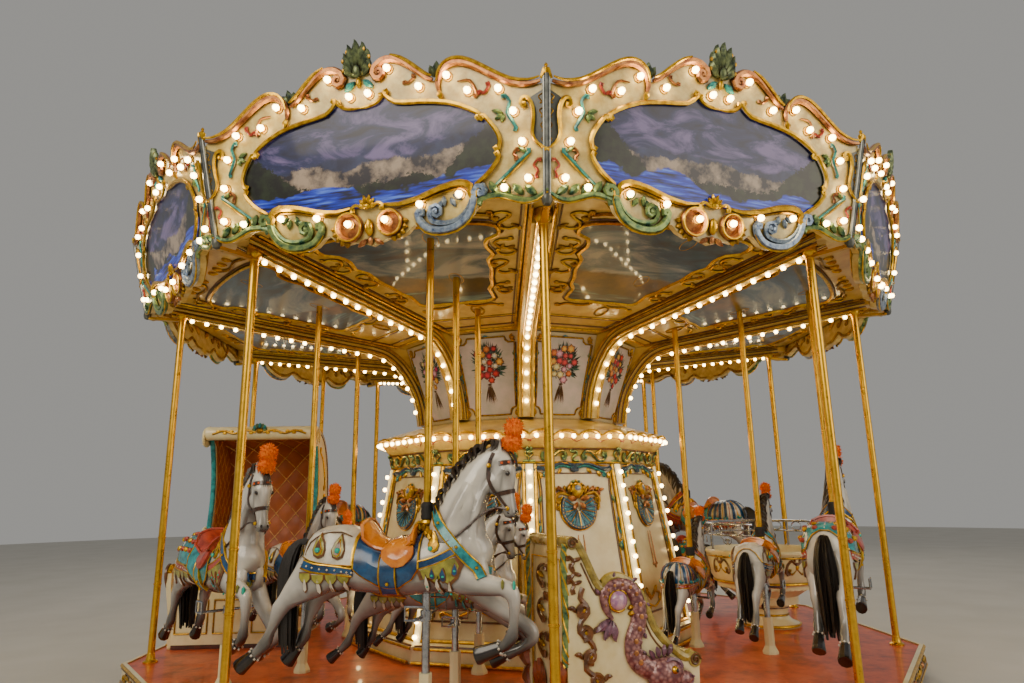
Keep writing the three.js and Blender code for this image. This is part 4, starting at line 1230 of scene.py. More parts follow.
def shell(shape, centre, size):
    """A scallop shell in relief: a fluted blue fan with gold and silver ribs inside a beaded navy rim."""
    flutes = 13
    angles = np.linspace(-0.62, math.pi + 0.62, 2 * flutes + 1) + math.pi

    def fan(wide, tall, height, angle=angles):
        across = centre[0] + size * wide * np.cos(angle)
        up = centre[1] + size * 0.35 + size * tall * np.sin(angle)
        return np.column_stack([across, up, np.broadcast_to(height, np.shape(across))])

    wave = np.cos(np.linspace(0, flutes * 2 * math.pi, len(angles)))
    rows = [fan(share, 1.05 * share, 10 + 26 * share + 8 * share * wave) for share in (0.12, 0.4, 0.7, 0.93)]
    shape.add((rows, net(len(rows) - 1, 2 * flutes)), "shell_blue")
    rim = fan(1, 1.05, 22)
    shape.bar(rim, 15, "navy", 6, up=OUTWARD)
    for spot in rim:
        shape.bead(spot + (0, 0, 12), 8, "gold", 2, 5)
    shape.bar(fan(1.12, 1.17, 12), 7, "gold", 4, up=OUTWARD)
    for i in range(flutes):
        a = angles[0] + (angles[-1] - angles[0]) * (i + 0.5) / flutes
        rib = np.vstack([fan(t, 1.05 * t, 16 + 28 * t, a) for t in (0.14, 0.5, 0.9)])
        shape.bar(rib, 4, "silver_blue" if i % 2 else "gold", 3, up=OUTWARD)


def drum_half(v, inset=0):
    """Half the width of a lower drum facet at a height, less an inset."""
    return 513 - 0.052 * v - inset


def drum_carving():
    """The right half of a lower drum facet: what flanks the shell and its crown, the head of the facet, the
    frame lines, side ribbons and low scrolls."""
    half = Shape()
    leaf(half, (0, 1158), UP - 1.35, 92, 26, "rose", 34, lobes=2)
    leaf(half, (0, 1150), DOWN + 0.7, 78, 20, "rose", 36, 12, lobes=2)
    leaf(half, (60, 1196), UP - 0.5, 96, 22, "old_gold", 16, bend=0.9)
    scroll(half, [(36, 1176), (110, 1216), (176, 1222), (214, 1180)], 17, "old_gold", (0, 30), (1, -1), 14)
    scroll(half, [(90, 1206), (140, 1256), (196, 1262), (226, 1232)], 13, "rose", (0, 22), (1, -1), 10)
    scroll(half, [(150, 1190), (204, 1150), (210, 1096)], 12, "old_gold", (0, 20), (1, -1))
    for k in range(4):
        base, angle = (104 + 34 * k, 1222 + 6 * k), UP - 0.2 - 0.35 * k
        leaf(half, base, angle, 60, 17, "rose" if k % 2 else "old_gold", 8, 12, lobes=2)
    scroll(half, [(24, 860), (30, 720), (24, 560)], 7, "rose", (0, 14), (1, 1), 6)

    head = [(8, 1476), (90, 1500), (190, 1478), (280, 1440), (360, 1452), (404, 1424)]
    scroll(half, head, 19, "navy", (30, 22), (1, 1), 12)
    scroll(half, [(30, 1452), (120, 1470), (220, 1440), (300, 1408)], 12, "teal", (18, 22), (-1, -1), 14)
    scroll(half, [(60, 1488), (150, 1500), (240, 1476), (340, 1470)], 7, "gold", height=22)
    for k in range(3):
        leaf(half, (120 + 110 * k, 1456 - 14 * k), DOWN + 0.7 - 0.4 * k, 62, 16, "gold", 10, 10, lobes=2)

    frame_line = ((1420, 78), (1250, 96), (900, 100), (400, 104), (170, 108))
    second = ((1400, 98), (1250, 114), (900, 118), (400, 122), (190, 126))
    half.line([(drum_half(*spot), spot[0]) for spot in frame_line], 5, 8, "old_gold")
    half.line([(drum_half(*spot), spot[0]) for spot in second], 3, 5, "brown")
    ribbon = [(drum_half(1000, 60), 1010), (drum_half(900, 92), 930), (drum_half(840, 60), 850),
              (drum_half(760, 84), 760)]
    cord = [(drum_half(960, 72), 960), (drum_half(880, 50), 880), (drum_half(800, 76), 800)]
    scroll(half, ribbon, 10, "teal", (18, 20), (-1, 1), 10)
    scroll(half, cord, 6, "gold", (12, 12), (1, -1), 14)
    for v in (1120, 700):
        leaf(half, (drum_half(v, 80), v), UP + 0.3, 80, 16, "green", 6, 10)

    scroll(half, [(40, 300), (140, 330), (230, 280), (320, 330)], 12, "old_gold", (30, 24))
    scroll(half, [(60, 240), (180, 200), (300, 230)], 10, "gold", (20, 24), (-1, -1))
    leaf(half, (160, 300), UP + 0.8, 90, 18, "gold", 4, 12)
    leaf(half, (250, 250), UP - 0.4, 80, 16, "old_gold", 4, 12)
    return half


def build_lower_drum():
    """Ten facets, each with a scallop shell hung under a jewelled crown, inside gilt and brown frames."""
    shape = Shape()
    shell(shape, (0, 1030), 158)
    shape.bead((0, 1250, 14), 66, "gold", 6, 14, (0.95, 1.15, 0.5))
    shape.bead((0, 1262, 34), 34, "silver_blue", 6, 12, (1, 1, 0.5))
    for i in range(9):
        a = -0.3 + (math.pi + 0.6) * i / 8
        shape.bead((66 * math.cos(a), 1262 + 72 * math.sin(a), 18), 13, "green" if i % 2 else "gold",
                   squash=(1, 1, 0.7))
    shape.pair(drum_carving())
    shape.bead((0, 540, 8), 16, "rose", squash=(1, 1.5, 0.6))
    for v, inset, height, radius, finish, sides in (
        (160, 100, 4, 8, "brown", 6), (1404, 96, 4, 6, "brown", 6), (0, 0, 8, 16, "gold", 8),
        (-40, 0, 60, 10, "brown", 8), (-62, 0, 66, 12, "gold", 8), (-168, 0, 88, 14, "gold", 8),
    ):
        end = drum_half(v, inset)
        shape.line([(-end, v), (end, v)], height, radius, finish, sides)
    repeated("lower_drum_dress", shape, facets(DRUM_LOW, DRUM_NECK))


def build_drum_corners():
    """Milky light strips on the lower drum's corners, each between a pair of yellow posts, and its lamps."""
    shape = Shape()
    low, high = (DRUM_LOW[0] + 4, 0, DRUM_LOW[1] - 20), (DRUM_NECK[0] + 4, 0, DRUM_NECK[1] - 14)
    outward = (1, 0, 0.17)
    section = [(-34, -6), (34, -6), (34, 16), (26, 22), (-26, 22), (-34, 16)]
    shape.add(swept([low, high], section, up=outward), "milky")
    for side in (1, -1):
        shape.bar([(x - 10, side * 52, z) for x, _, z in (low, high)], 17, "gold", 10)
        shape.bar([(x + 2, side * 33, z) for x, _, z in (low, high)], 5, "old_gold", 6)
    for i in range(DRUM_CORNER_LAMPS):
        place = np.array(low) + np.subtract(high, low) * (i + 0.4) / DRUM_CORNER_LAMPS + (18, 0, 0)
        lamp(shape, place, outward, SMALL_LAMP)
    repeated("drum_light_strip", shape, spokes())


def build_cornice():
    """The cornice: a scalloped lip of lamps over a band of green and gold S-scrolls."""
    band = facets((DRUM_NECK[0] + 12, DRUM_NECK[1]), (DRUM_NECK[0] + 40, 2035))
    lip = facets((DRUM_NECK[0] + 40, 2035), CORNICE)
    to_lip = np.array(band[0].inverted() @ lip[0])

    def on_lip(u, v, w):
        """Points of the lip's own panel, given in the band's."""
        p = np.column_stack([u, v, np.broadcast_to(w, np.shape(u)), np.full(np.shape(u), 1 / MM)])
        return (p @ to_lip.T)[:, :3]

    half = Shape()
    wave = [(82, 66), (108, 104), (158, 104), (204, 66), (250, 26), (300, 28), (326, 64)]
    scroll(half, wave, 15, "green", (26, 26), (1, 1), 7)
    scroll(half, [(u, v + 6) for u, v in wave[1:-1]], 5, "gold", height=20)
    leaf(half, (204, 70), UP - 0.9, 74, 15, "gold", 4, 10, lobes=2)
    hook = [(466, 112), (424, 104), (410, 76), (440, 48), (432, 20), (398, 20)]
    scroll(half, hook, 12, "green", (15, 15), (1, 1), 6)
    scroll(half, [(u, v + 4) for u, v in hook[1:-1]], 4, "gold", height=15)
    shape = Shape()
    shape.pair(half)
    middle = [(-30, 100), (10, 108), (26, 80), (-14, 52), (0, 22), (34, 22)]
    scroll(shape, middle, 11, "green", (13, 13), (-1, -1), 6)
    for v, radius, finish in ((4, 10, "gold"), (128, 7, "brown")):
        shape.line([(-446.5, v), (446.5, v)], 4, radius, finish)

    def swell(u):
        return np.abs(np.sin((u + CORNICE_HALF) / (2 * CORNICE_HALF) * CORNICE_WAVES * math.pi))

    u = np.linspace(-CORNICE_HALF, CORNICE_HALF, CORNICE_WAVES * 8 + 1)
    shape.bar(on_lip(u, 150 + 48 * swell(u), 6), 13, "gold")
    shape.bar(on_lip(u, 76 + 44 * swell(u), 4), 6, "red", 6)
    u = CORNICE_HALF * ((2 * np.arange(CORNICE_LAMPS) + 1) / CORNICE_LAMPS - 1)
    for spot in on_lip(u, 122 + 46 * swell(u), 8):
        lamp(shape, spot, to_lip[:3, 2], SMALL_LAMP)
    repeated("cornice_dress", shape, band)


def build_floor_edge():
    """The deck's edge: a gilt nosing, a lower bead, and carved scrolls round three bosses on every side."""
    shape = Shape()
    half = EDGE_LOW[0] * math.sin(HALF) - 12
    for v, radius, finish in ((158, 11, "gold"), (14, 11, "gold"), (136, 5, "brown"), (36, 5, "brown")):
        shape.line([(-half, v), (half, v)], 3, radius, finish, 5)
    wave = Shape()
    scroll(wave, [(46, 84), (110, 116), (180, 104), (230, 66), (290, 60)], 12, "old_gold", (0, 24), (1, 1), 5)
    leaf(wave, (130, 90), UP - 1.3, 96, 20, "gold", 3, 10, lobes=2)
    motif = Shape()
    motif.bead((0, 86, 4), 30, "rose", 4, 10, (1.3, 1, 0.6))
    motif.pair(wave)
    for u in (-700, 0, 700):
        shape.join(motif, shift=(u, 0, 0))
    repeated("floor_edge_dress", shape, facets(EDGE_LOW, EDGE_HIGH))


def build_roof_ribs():
    """Half-round battens over the roof's hips, under a low cap."""
    shape = Shape()
    for k in range(SIDES):
        a = k * STEP
        hip = [(r * math.sin(a), -r * math.cos(a), ROOF_PEAK - ROOF_FALL * r + 4) for r in (90, 1900, 3760)]
        shape.bar(hip, 16, "cream", 6, flat=0.7, up=OUTWARD)
    cap = [(190, -42), (184, -14), (90, 14), (20, 22)]
    shape.lathe([(r, ROOF_PEAK + h) for r, h in cap], "cream", 20)
    piece("roof_battens", shape, "rotor", None)


# Horses. Horse millimetres: x forward, y towards the axis, z above the floor at mid-stroke, all at full scale

LEG_SPREAD = 95
TRUNK = [
    (-862, 985, 30, 30), (-805, 992, 118, 104), (-705, 1000, 178, 160), (-570, 1000, 196, 192),
    (-420, 955, 188, 190), (-290, 925, 164, 184), (-150, 922, 168, 180), (20, 955, 190, 172),
    (200, 995, 208, 164), (320, 1008, 176, 140), (400, 1000, 108, 90), (436, 992, 36, 34),
]
NECK = [
    (196, 1040, 214, 132), (206, 1150, 196, 124), (226, 1260, 172, 104), (276, 1380, 146, 86),
    (352, 1500, 122, 72), (430, 1585, 98, 62), (500, 1625, 74, 52), (530, 1636, 30, 26),
]
HEAD = [
    (486, 1664, 34, 34), (494, 1620, 70, 52), (500, 1560, 90, 62), (505, 1490, 92, 64), (512, 1425, 80, 56),
    (534, 1360, 56, 44), (550, 1310, 47, 42), (556, 1268, 48, 46), (556, 1240, 38, 40), (555, 1226, 18, 20),
]
FORE_RIGHT = [
    (170, 930, 130, 74), (300, 862, 94, 66), (420, 836, 68, 56), (520, 822, 54, 46), (572, 798, 54, 46),
    (594, 742, 42, 38), (592, 660, 31, 30), (586, 595, 31, 30), (576, 545, 42, 37), (545, 500, 34, 32),
    (500, 478, 34, 34),
]
FORE_LEFT = [
    (180, 920, 130, 74), (320, 785, 88, 62), (460, 680, 62, 52), (580, 600, 50, 44), (650, 552, 52, 44),
    (664, 500, 42, 38), (620, 456, 31, 30), (566, 430, 31, 30), (522, 414, 40, 36), (494, 404, 34, 34),
]
HIND_RIGHT = [
    (-620, 980, 176, 96), (-740, 880, 146, 92), (-850, 790, 98, 70), (-930, 716, 62, 52), (-974, 664, 56, 46),
    (-1004, 590, 38, 34), (-1034, 520, 32, 31), (-1062, 458, 44, 38), (-1104, 414, 35, 34),
    (-1136, 388, 36, 35),
]
HIND_LEFT = [
    (-590, 970, 176, 96), (-680, 870, 146, 92), (-765, 780, 94, 70), (-812, 712, 60, 50), (-838, 660, 54, 46),
    (-856, 600, 38, 34), (-870, 540, 32, 31), (-890, 478, 44, 38), (-914, 434, 35, 34), (-932, 408, 36, 35),
]
LEGS = ((FORE_RIGHT, -1, (354, 428)), (FORE_LEFT, 1, (398, 366)), (HIND_RIGHT, -1, (-1240, 306)),
        (HIND_LEFT, 1, (-1010, 312)))
MUSCLES = [
    ((250, 92, 985), (120, 66, 165)), ((345, 60, 900), (88, 62, 110)), ((-640, 96, 1000), (165, 98, 175)),
    ((-790, 76, 905), (92, 70, 120)), ((-560, 110, 900), (120, 74, 110)), ((458, 34, 1448), (66, 34, 74)),
    ((548, 40, 1530), (34, 26, 40)), ((574, 26, 1264), (26, 22, 30)), ((300, 62, 1290), (44, 40, 150)),
    ((140, 80, 1130), (80, 56, 110)),
]
NECK_CORDS = [
    [(452, 40, 1480), (388, 58, 1380), (350, 74, 1262), (334, 88, 1150), (344, 92, 1050)],
    [(306, 68, 1440), (244, 86, 1330), (194, 104, 1212), (184, 120, 1100)],
]
CREST = [(506, 1692), (430, 1694), (338, 1652), (250, 1572), (176, 1470), (118, 1370), (82, 1290)]
RUMP_EDGE = [(-790, 1000), (-700, 975), (-600, 962), (-430, 952)]
TAB = [(-46, 42), (46, 42), (44, 8), (22, -16), (0, -26), (-22, -16), (-44, 8)]
BREAST_FRINGE = [
    (-8, 930), (90, 962), (185, 1000), (252, 1022), (290, 962), (262, 880), (210, 838), (150, 872),
    (100, 848), (50, 884), (12, 868),
]
HEM = [(-425, 936), (-350, 884), (-262, 840), (-192, 820), (-120, 832), (-40, 876), (6, 936)]
REIN = [(546, 1288), (480, 1296), (400, 1262), (300, 1180), (180, 1096), (70, 1120), (10, 1172)]
SADDLE_EDGE = [(-430, 1140), (-380, 1082), (-300, 1044), (-210, 1024), (-120, 1034), (-30, 1066)]
POMMEL_CURL = [(-44, 20, 1214), (-70, 26, 1190), (-60, 40, 1160), (-30, 62, 1140)]
GRIP = [
    (POLE_R, 1222), (40, 1230), (43, 1250), (40, 1262), (43, 1278), (40, 1292), (43, 1308), (40, 1322),
    (34, 1334), (POLE_R, 1338),
]
SCHEMES = {
    "drops": dict(armour="white", band="blue", fringe="olive", blanket="blue", collar="aqua", seat="orange",
                  slot="trapping_blue"),
    "stripes": dict(armour="blue", band="red", fringe="red", blanket="aqua", collar="red", seat="orange",
                    slot="trapping_red"),
    "scales": dict(armour="aqua", band="red", fringe="olive", blanket="aqua", collar="blue", seat="red",
                   slot="trapping_teal"),
}
HORSES = {
    "outer": {1: "scales", 3: "stripes", 4: "drops", 5: "scales", 6: "stripes", 8: "scales", 9: "drops"},
    "middle": {1: "drops", 3: "scales", 4: "stripes", 5: "drops", 6: "scales", 8: "drops", 9: "scales"},
    "inner": {1: "stripes", 3: "drops", 5: "stripes", 7: "scales", 9: "drops"},
}
EAR = [(500, 30, 1650), (496, 38, 1690), (500, 42, 1722), (512, 38, 1752)]
EYELID = [(560, 50, 1500), (552, 64, 1518), (538, 66, 1530), (520, 62, 1530)]
MOUTH = [(596, 10, 1247), (574, 38, 1252), (544, 44, 1264)]
HOOF = ((0, 38), (0.3, 43), (0.7, 50), (0.93, 55), (1, 52))
MID_TRUNK = 960
CLEAR_OF_BODY = 700
CARVING_GRAIN = 9
CARVING_ROUNDS = 4
CARVING_KEPT = 0.033

# Grey strokes as (x, z) points, reach and depth: at the fetlocks, lower legs and muzzle they are airbrushed
# paint; along the face, neck folds, elbows, flank, thigh and belly they are painted shade.
GREY_STROKES_AND_SHADE = (
    ([(548, 490), (500, 478)], 110, 0.72), ([(500, 404), (540, 420)], 110, 0.72),
    ([(-1120, 400), (-1062, 458)], 110, 0.72), ([(-920, 420), (-890, 478)], 110, 0.7),
    ([(585, 640), (600, 560)], 80, 0.45), ([(650, 552), (600, 450)], 80, 0.4),
    ([(-1050, 480), (-1000, 560)], 90, 0.45), ([(-880, 490), (-860, 580)], 90, 0.45),
    ([(604, 1262), (580, 1228), (545, 1222)], 62, 0.68), ([(598, 1330), (600, 1400)], 36, 0.5),
    ([(556, 1512), (530, 1520)], 26, 0.6), ([(470, 1600), (446, 1520), (470, 1420), (520, 1380)], 22, 0.5),
    ([(418, 1450), (372, 1350), (306, 1240), (268, 1120), (270, 1040)], 26, 0.62),
    ([(440, 1400), (404, 1290), (392, 1180), (400, 1080)], 22, 0.5),
    ([(262, 1400), (196, 1290), (150, 1200)], 24, 0.5), ([(230, 860), (330, 800), (420, 770)], 30, 0.5),
    ([(-420, 900), (-480, 830), (-560, 770)], 30, 0.5), ([(-700, 900), (-790, 790), (-860, 700)], 26, 0.42),
    ([(-820, 660), (-770, 720)], 30, 0.3), ([(560, 760), (575, 700)], 24, 0.3),
           ([(0, 770), (-400, 760)], 34, 0.2),
)


def loft(stations, y=0, sides=14):
    """A trunk or limb through stations of (x, z, half depth seen from the side, half width)."""
    line = smooth(stations, 3)
    rings = np.maximum(line[:, None, 2:], 6) * circle(1, sides)
    return swept(np.column_stack([line[:, 0], np.full(len(line), y), line[:, 1]]), rings, up=(0, 1, 0))


def grown_together(shape):
    """The outer skin of solids that run into each other, smoothed like a carving. Returns points and
    faces."""
    mesh = bpy.data.meshes.new("grown")
    mesh.from_pydata((np.vstack(shape.points) * MM).tolist(), [], shape.faces)
    made = shown("grown", mesh)
    skin = made.modifiers.new("skin", "REMESH")
    skin.mode = "VOXEL"
    skin.voxel_size = CARVING_GRAIN * MM
    soften = made.modifiers.new("soften", "SMOOTH")
    soften.iterations = CARVING_ROUNDS
    thin = made.modifiers.new("thin", "DECIMATE")
    thin.ratio = CARVING_KEPT
    done = bpy.data.meshes.new_from_object(made.evaluated_get(bpy.context.evaluated_depsgraph_get()))
    points = np.array([v.co for v in done.vertices]) / MM
    faces = [tuple(f.vertices) for f in done.polygons]
    bpy.data.objects.remove(made)
    bpy.data.meshes.remove(mesh)
    bpy.data.meshes.remove(done)
    return points, faces


class Skin:
    """A carved body's surface, to lay straps, trappings and studs on."""

    def __init__(self, solid):
        points, faces = solid
        self.tree = BVHTree.FromPolygons([Vector(p) for p in points], faces)

    def met(self, start, way, near):
        """Place and outward direction where a ray meets the body, or else nearest to another place."""
        hit = self.tree.ray_cast(start, way)
        if hit[0] is None:
            hit = self.tree.find_nearest(near)
        return np.array(hit[0]), np.array(hit[1])

    def around(self, centre, u, v, angle):
        """The same where a ray comes in towards a centre, from an angle counted from u to v."""
        way = Vector(u) * math.cos(angle) + Vector(v) * math.sin(angle)
        return self.met(Vector(centre) + way * CLEAR_OF_BODY, -way, Vector(centre) + way * 100)

    def back(self, x, angle):
        """The same at a station of the trunk: 0 is the top and a positive angle is on the axis side."""
        return self.around((x, 0, MID_TRUNK), (0, 0, 1), (0, 1, 0), angle)

    def side(self, x, z, side):
        """The same, seen square from one side."""
        start = Vector((x, side * CLEAR_OF_BODY, z))
        return self.met(start, Vector((0, -side, 0)), Vector((x, side * 60, z)))

    def row(self, points, side):
        """The same all along a smooth line of (x, z)."""
        return [self.side(x, z, side) for x, z in smooth(points, 2)]

    def spans(self, xs, line):
        """At each x, the two angles at which the trunk reaches a line of (x, z)."""
        knots, heights = zip(*line)
        spans = []
        for x in xs:
            z = float(np.interp(x, knots, heights))
            reach = [abs(self.side(x, z, side)[0][1]) for side in (-1, 1)]
            spans.append((-math.atan2(reach[0], z - MID_TRUNK), math.atan2(reach[1], z - MID_TRUNK)))
        return spans


def settle(normals):
    """Directions evened out along a row, so that a strap lies without kinks."""
    n = np.asarray(normals, float)
    for _ in range(2):
        n[1:-1] = (n[:-2] + 2 * n[1:-1] + n[2:]) / 4
    return unit(n)


def stud(shape, laid, lift, radius, finish, rings=4, sides=8, squash=(1, 1, 1)):
    """A bead over a place on the skin."""
    spot, out = laid
    shape.bead(spot + out * lift, radius, finish, rings, sides, squash)


def strap(shape, laid, half, thick, finish, trim=None):
    """A moulded strap over places and outward directions, with a raised bead along each edge if trim is
    given."""
    edge = [(half, -5), (half, thick)]
    if trim:
        edge += [(half - 6, thick + 3), (half - 10, thick - 3)]
    section = edge + [(-x, y) for x, y in reversed(edge)]
    points, faces = swept([spot for spot, _ in laid], section, up=settle([out for _, out in laid]))
    beads = {face for k, face in enumerate(faces) if trim and k % 4 < 3 and len(face) == 4}
    shape.add((points, [face for face in faces if face not in beads]), finish)
    if trim:
        shape.add((points, [face for face in faces if face in beads]), trim)


def trapping(shape, skin, xs, spans, lift, finish, trim=None, rows=8):
    """A moulded cloth: at each x it spans two angles round the trunk, and its edges are tucked in. lift is
    its height over the body, or a rule for it from x and angle. Returns the lines of its four edges."""
    columns = []
    stations = [0, *range(len(xs)), len(xs) - 1]
    for i, k in enumerate(stations):
        x, (a, b) = xs[k], spans[k]
        column = []
        for j, angle in enumerate([a, *np.linspace(a, b, rows), b]):
            spot, normal = skin.back(x, angle)
            tucked = i in (0, len(stations) - 1) or j in (0, rows + 1)
            rise = -TUCK if tucked else lift(x, angle) if callable(lift) else lift
            column.append(spot + normal * rise)
        columns.append(column)
    shape.add((columns, net(len(columns) - 1, rows + 1)), finish)
    top = np.array(columns)[1:-1, 1:-1]
    edges = [top[:, 0], top[:, -1], top[0], top[-1]]
    if trim:
        for edge in edges:
            shape.bar(edge, 6, trim, 3)
    return edges


def patch(shape, skin, outline, side, rise, finish, trim=None, dome=0.0, width=5):
    """A raised ornament on one side of the body, inside an outline of (x, z), with its middle domed."""
    outline = np.asarray(outline, float)
    middle = outline.mean(axis=0)
    n = len(outline)
    shares = [(1, -TUCK), (1, rise)]
    if trim:
        shares.append((0.82, rise + width * 0.8))
    if n > 14:
        shares.append((0.6, rise + dome * 0.7))
    rings = []
    for share, lift in shares:
        ring = [skin.side(*(middle + (q - middle) * share), side) for q in outline]
        rings.append([spot + normal * lift for spot, normal in ring])
    top, out = skin.side(*middle, side)
    points = np.vstack([*rings, top + out * (rise + dome)])
    inner = (len(rings) - 1) * n
    crown = [(inner + j, inner + (j + 1) % n, inner + n) for j in range(n)]
    for faces, paint in ((walls(len(rings), n), trim or finish), (crown, finish)):
        shape.add((points, [face[::-side] for face in faces]), paint)


def drop_outline(x, z, wide, tall, count=10):
    """A hanging drop: pointed above, round below."""
    a = np.linspace(0, 2 * math.pi, count, endpoint=False)
    return [(x + wide * math.sin(t) * math.sin(t / 2) ** 1.2, z + tall * math.cos(t)) for t in a]


def carve_horse():
    """The bare body, as one skin of points and faces."""
    shape = Shape()
    for stations, sides in ((TRUNK, 18), (NECK, 16), (HEAD, 14)):
        shape.add(loft(stations, 0, sides), "coat")
    for stations, side, _ in LEGS:
        shape.add(loft(stations, side * LEG_SPREAD, 12), "coat")
    for (x, y, z), reach in MUSCLES:
        for side in (1, -1):
            shape.bead((x, side * y, z), 1, "coat", 8, 12, reach)
    for side in (1, -1):
        for cord in NECK_CORDS:
            shape.bar(smooth(cord, 2) * (1, side, 1), 28, "coat")
        shape.bar(np.multiply(EAR, (1, side, 1)), [20, 19, 14, 3], "coat")
        shape.bar(np.multiply(EYELID, (1, side, 1)), [4, 10, 11, 5], "coat", 6)
    return grown_together(shape)


def airbrush_and_shade(points):
    """Grey over the white body: airbrushed paint at the fetlocks, knees and muzzle, and painted shade in the
    hollows of head, neck and flank.
    """
    grey = np.ones(len(points))
    seen = np.asarray(points)[:, [0, 2]]
    for stroke, reach, depth in GREY_STROKES_AND_SHADE:
        line = smooth(stroke, 4)
        away = np.linalg.norm(seen[:, None] - line[None], axis=2).min(axis=1)
        grey *= 1 - depth * np.exp(-(away / reach) ** 2)
    return grey


def hoof(shape, ankle, toe, y):
    """A hoof from ankle to toe, under a ring of pearls."""
    ankle, toe = np.array(ankle, float), np.array(toe, float)
    way = (toe - ankle) / np.linalg.norm(toe - ankle)
    start = ankle - way * 4
    run = np.linalg.norm(toe - start)
    path = [np.insert(start + way * run * share, 1, y) for share, _ in HOOF]
    shape.bar(path, [radius for _, radius in HOOF], "hoof", 10, flat=0.9, up=(0, 1, 0))
    across = np.array((-way[1], way[0]))
    for k in range(8):
        a = 2 * math.pi * k / 8
        pearl = np.insert(start + across * 41 * math.cos(a), 1, y + 39 * math.sin(a))
        shape.bead(pearl, 10, "pearl", 2, 5)


def horse_body(solid):
    """The carved body in its sprayed coat, with eyes, nostrils, mouth and hooves."""
    shape = Shape()
    shape.add(solid, "coat")
    # The grey strokes, tinted a little blue, are partly airbrushed paint and partly painted shade.
    grey = airbrush_and_shade(solid[0])
    shape.tints = [np.column_stack([grey * 0.98, grey * 0.99, np.minimum(1, grey * 1.05),
                                    np.ones(len(grey))])]
    for side in (1, -1):
        shape.bead((556, side * 60, 1508), 15, "eye", 6, 10, (1, 0.8, 1))
        shape.bead((600, side * 24, 1270), 9, "hoof", squash=(0.7, 0.8, 1.3))
        shape.bar(np.multiply(MOUTH, (1, side, 1)), 4, "hoof", 5)
    for stations, side, toe in LEGS:
        hoof(shape, stations[-1][:2], toe, side * LEG_SPREAD)
    return shape


def lock(shape, path, thick, sides):
    """A carved lock of hair that swells and runs out to a point."""
    curve = smooth(path, 2)
    t = np.linspace(0, 1, len(curve))
    radius = thick * (0.35 + 0.9 * np.sin(math.pi * np.clip(t * 0.8 + 0.12, 0, 1))) * (1.04 - t)
    shape.bar(curve, np.maximum(radius, 1.5), "mane", sides, flat=0.7)


def horse_mane(skin, draw):
    """The mane's locks on both sides of the crest, longer on the axis side, and the forelock."""
    shape = Shape()
    crest = smooth(CREST, 6)
    last = len(crest) - 1
    for side, count, reach in ((1, 15, 230), (-1, 14, 95)):
        for i in range(count):
            k = int(last * (i + 0.5 * (side > 0)) / count)
            ahead = crest[min(k + 1, last)] - crest[max(k - 1, 0)]
            ahead /= np.linalg.norm(ahead)
            out = np.array((ahead[1], -ahead[0]))
            path = []
            wave = draw.uniform(0, 6)
            for t in (0, 0.18, 0.4, 0.7, 1):
                fall = reach * t
                swell = 34 * math.sin(math.pi * min(t * 1.5, 1))
                sway = (9 * math.sin(wave + 7 * t), 12 - fall * 0.62)
                x, z = crest[k] + ahead * fall * 0.55 + out * swell + sway
                spot, _ = skin.side(x, z, side)
                path.append((x, side * (2 + 20 * t) if t < 0.25 else spot[1] + side * 13, z))
            lock(shape, path, draw.uniform(22, 28), 3)
    for y in (-24, -12, 0, 12, 24):
        lock(shape, [(500, y * 0.4, 1690), (556, y * 0.7, 1660), (596, y, 1600), (604, y * 1.1, 1548)], 13, 4)
    return shape


def horse_tail(draw):
    """A full tail of horsehair, gathered at the dock."""
    shape = Shape()
    count = 26
    for i in range(count):
        a, r = i * EVEN_TURN, math.sqrt((i + 0.5) / count)
        dx, dy = r * math.cos(a), r * math.sin(a)
        sway, low = draw.uniform(-14, 14), draw.uniform(370, 480)
        curve = smooth([
            (-850 + 8 * dx, 16 * dy, 1084 + 8 * dx), (-905 + 24 * dx, 32 * dy, 1084 + 12 * dx),
            (-950 + 40 * dx, 56 * dy, 1000), (-968 + 52 * dx + sway, 74 * dy, 850),
            (-958 + 56 * dx, 74 * dy + sway, 660), (-946 + 52 * dx + sway, 60 * dy, low),
        ], 2)
        t = np.linspace(0, 1, len(curve))
        shape.bar(curve, np.maximum(21 * np.sin(math.pi * (0.14 + 0.78 * t)) ** 0.6, 3), "hair", 3)
    return shape


def horse_plume():
    """A marabou plume on a short stem behind the browband: two soft heads of barbs, the upper one over the
    lower."""
    draw = random.Random(11)
    shape = Shape()
    shape.bar([(500, 0, 1640), (536, 0, 1650), (560, 0, 1680)], [22, 20, 20], "hair")
    heads = (((572, 0, 1704), (64, 62, 62)), ((588, 0, 1796), (60, 60, 66)))
    for centre, reach in heads:
        shape.bead(centre, 1, "plume", 6, 10, reach)
    for i in range(380):
        centre, reach = heads[i % 2]
        h, a = draw.uniform(-0.94, 1), draw.uniform(0, 2 * math.pi)
        level = math.sqrt(1 - h * h)
        way = np.array((level * math.cos(a), level * math.sin(a), h))
        root = np.array(centre) + way * reach * 0.9
        over = np.cross(way, (draw.uniform(-1, 1), draw.uniform(-1, 1), draw.uniform(-1, 1)))
        over /= np.linalg.norm(over)
        across = np.cross(way, over)
        tip = root + way * draw.uniform(14, 30) + over * draw.uniform(0, 12) + (0, 0, draw.uniform(-8, 4))
        feet = [root + 7 * (over * math.cos(k) + across * math.sin(k)) for k in (0, 2.1, 4.2)]
        shape.add(([*feet, tip], [(0, 1, 3), (1, 2, 3), (2, 0, 3)]), "plume")
    return shape


# Trappings. Each function dresses one side of the body, or both


def on_rump(skin, angle, slope, side):
    """Place and outward direction on the rump: an angle round it from the tail and a slope down from its
    crown."""
    way = (-math.cos(angle), side * math.sin(angle), 0)
    return skin.around((-560, 0, 930), (0, 0, 1), way, slope)


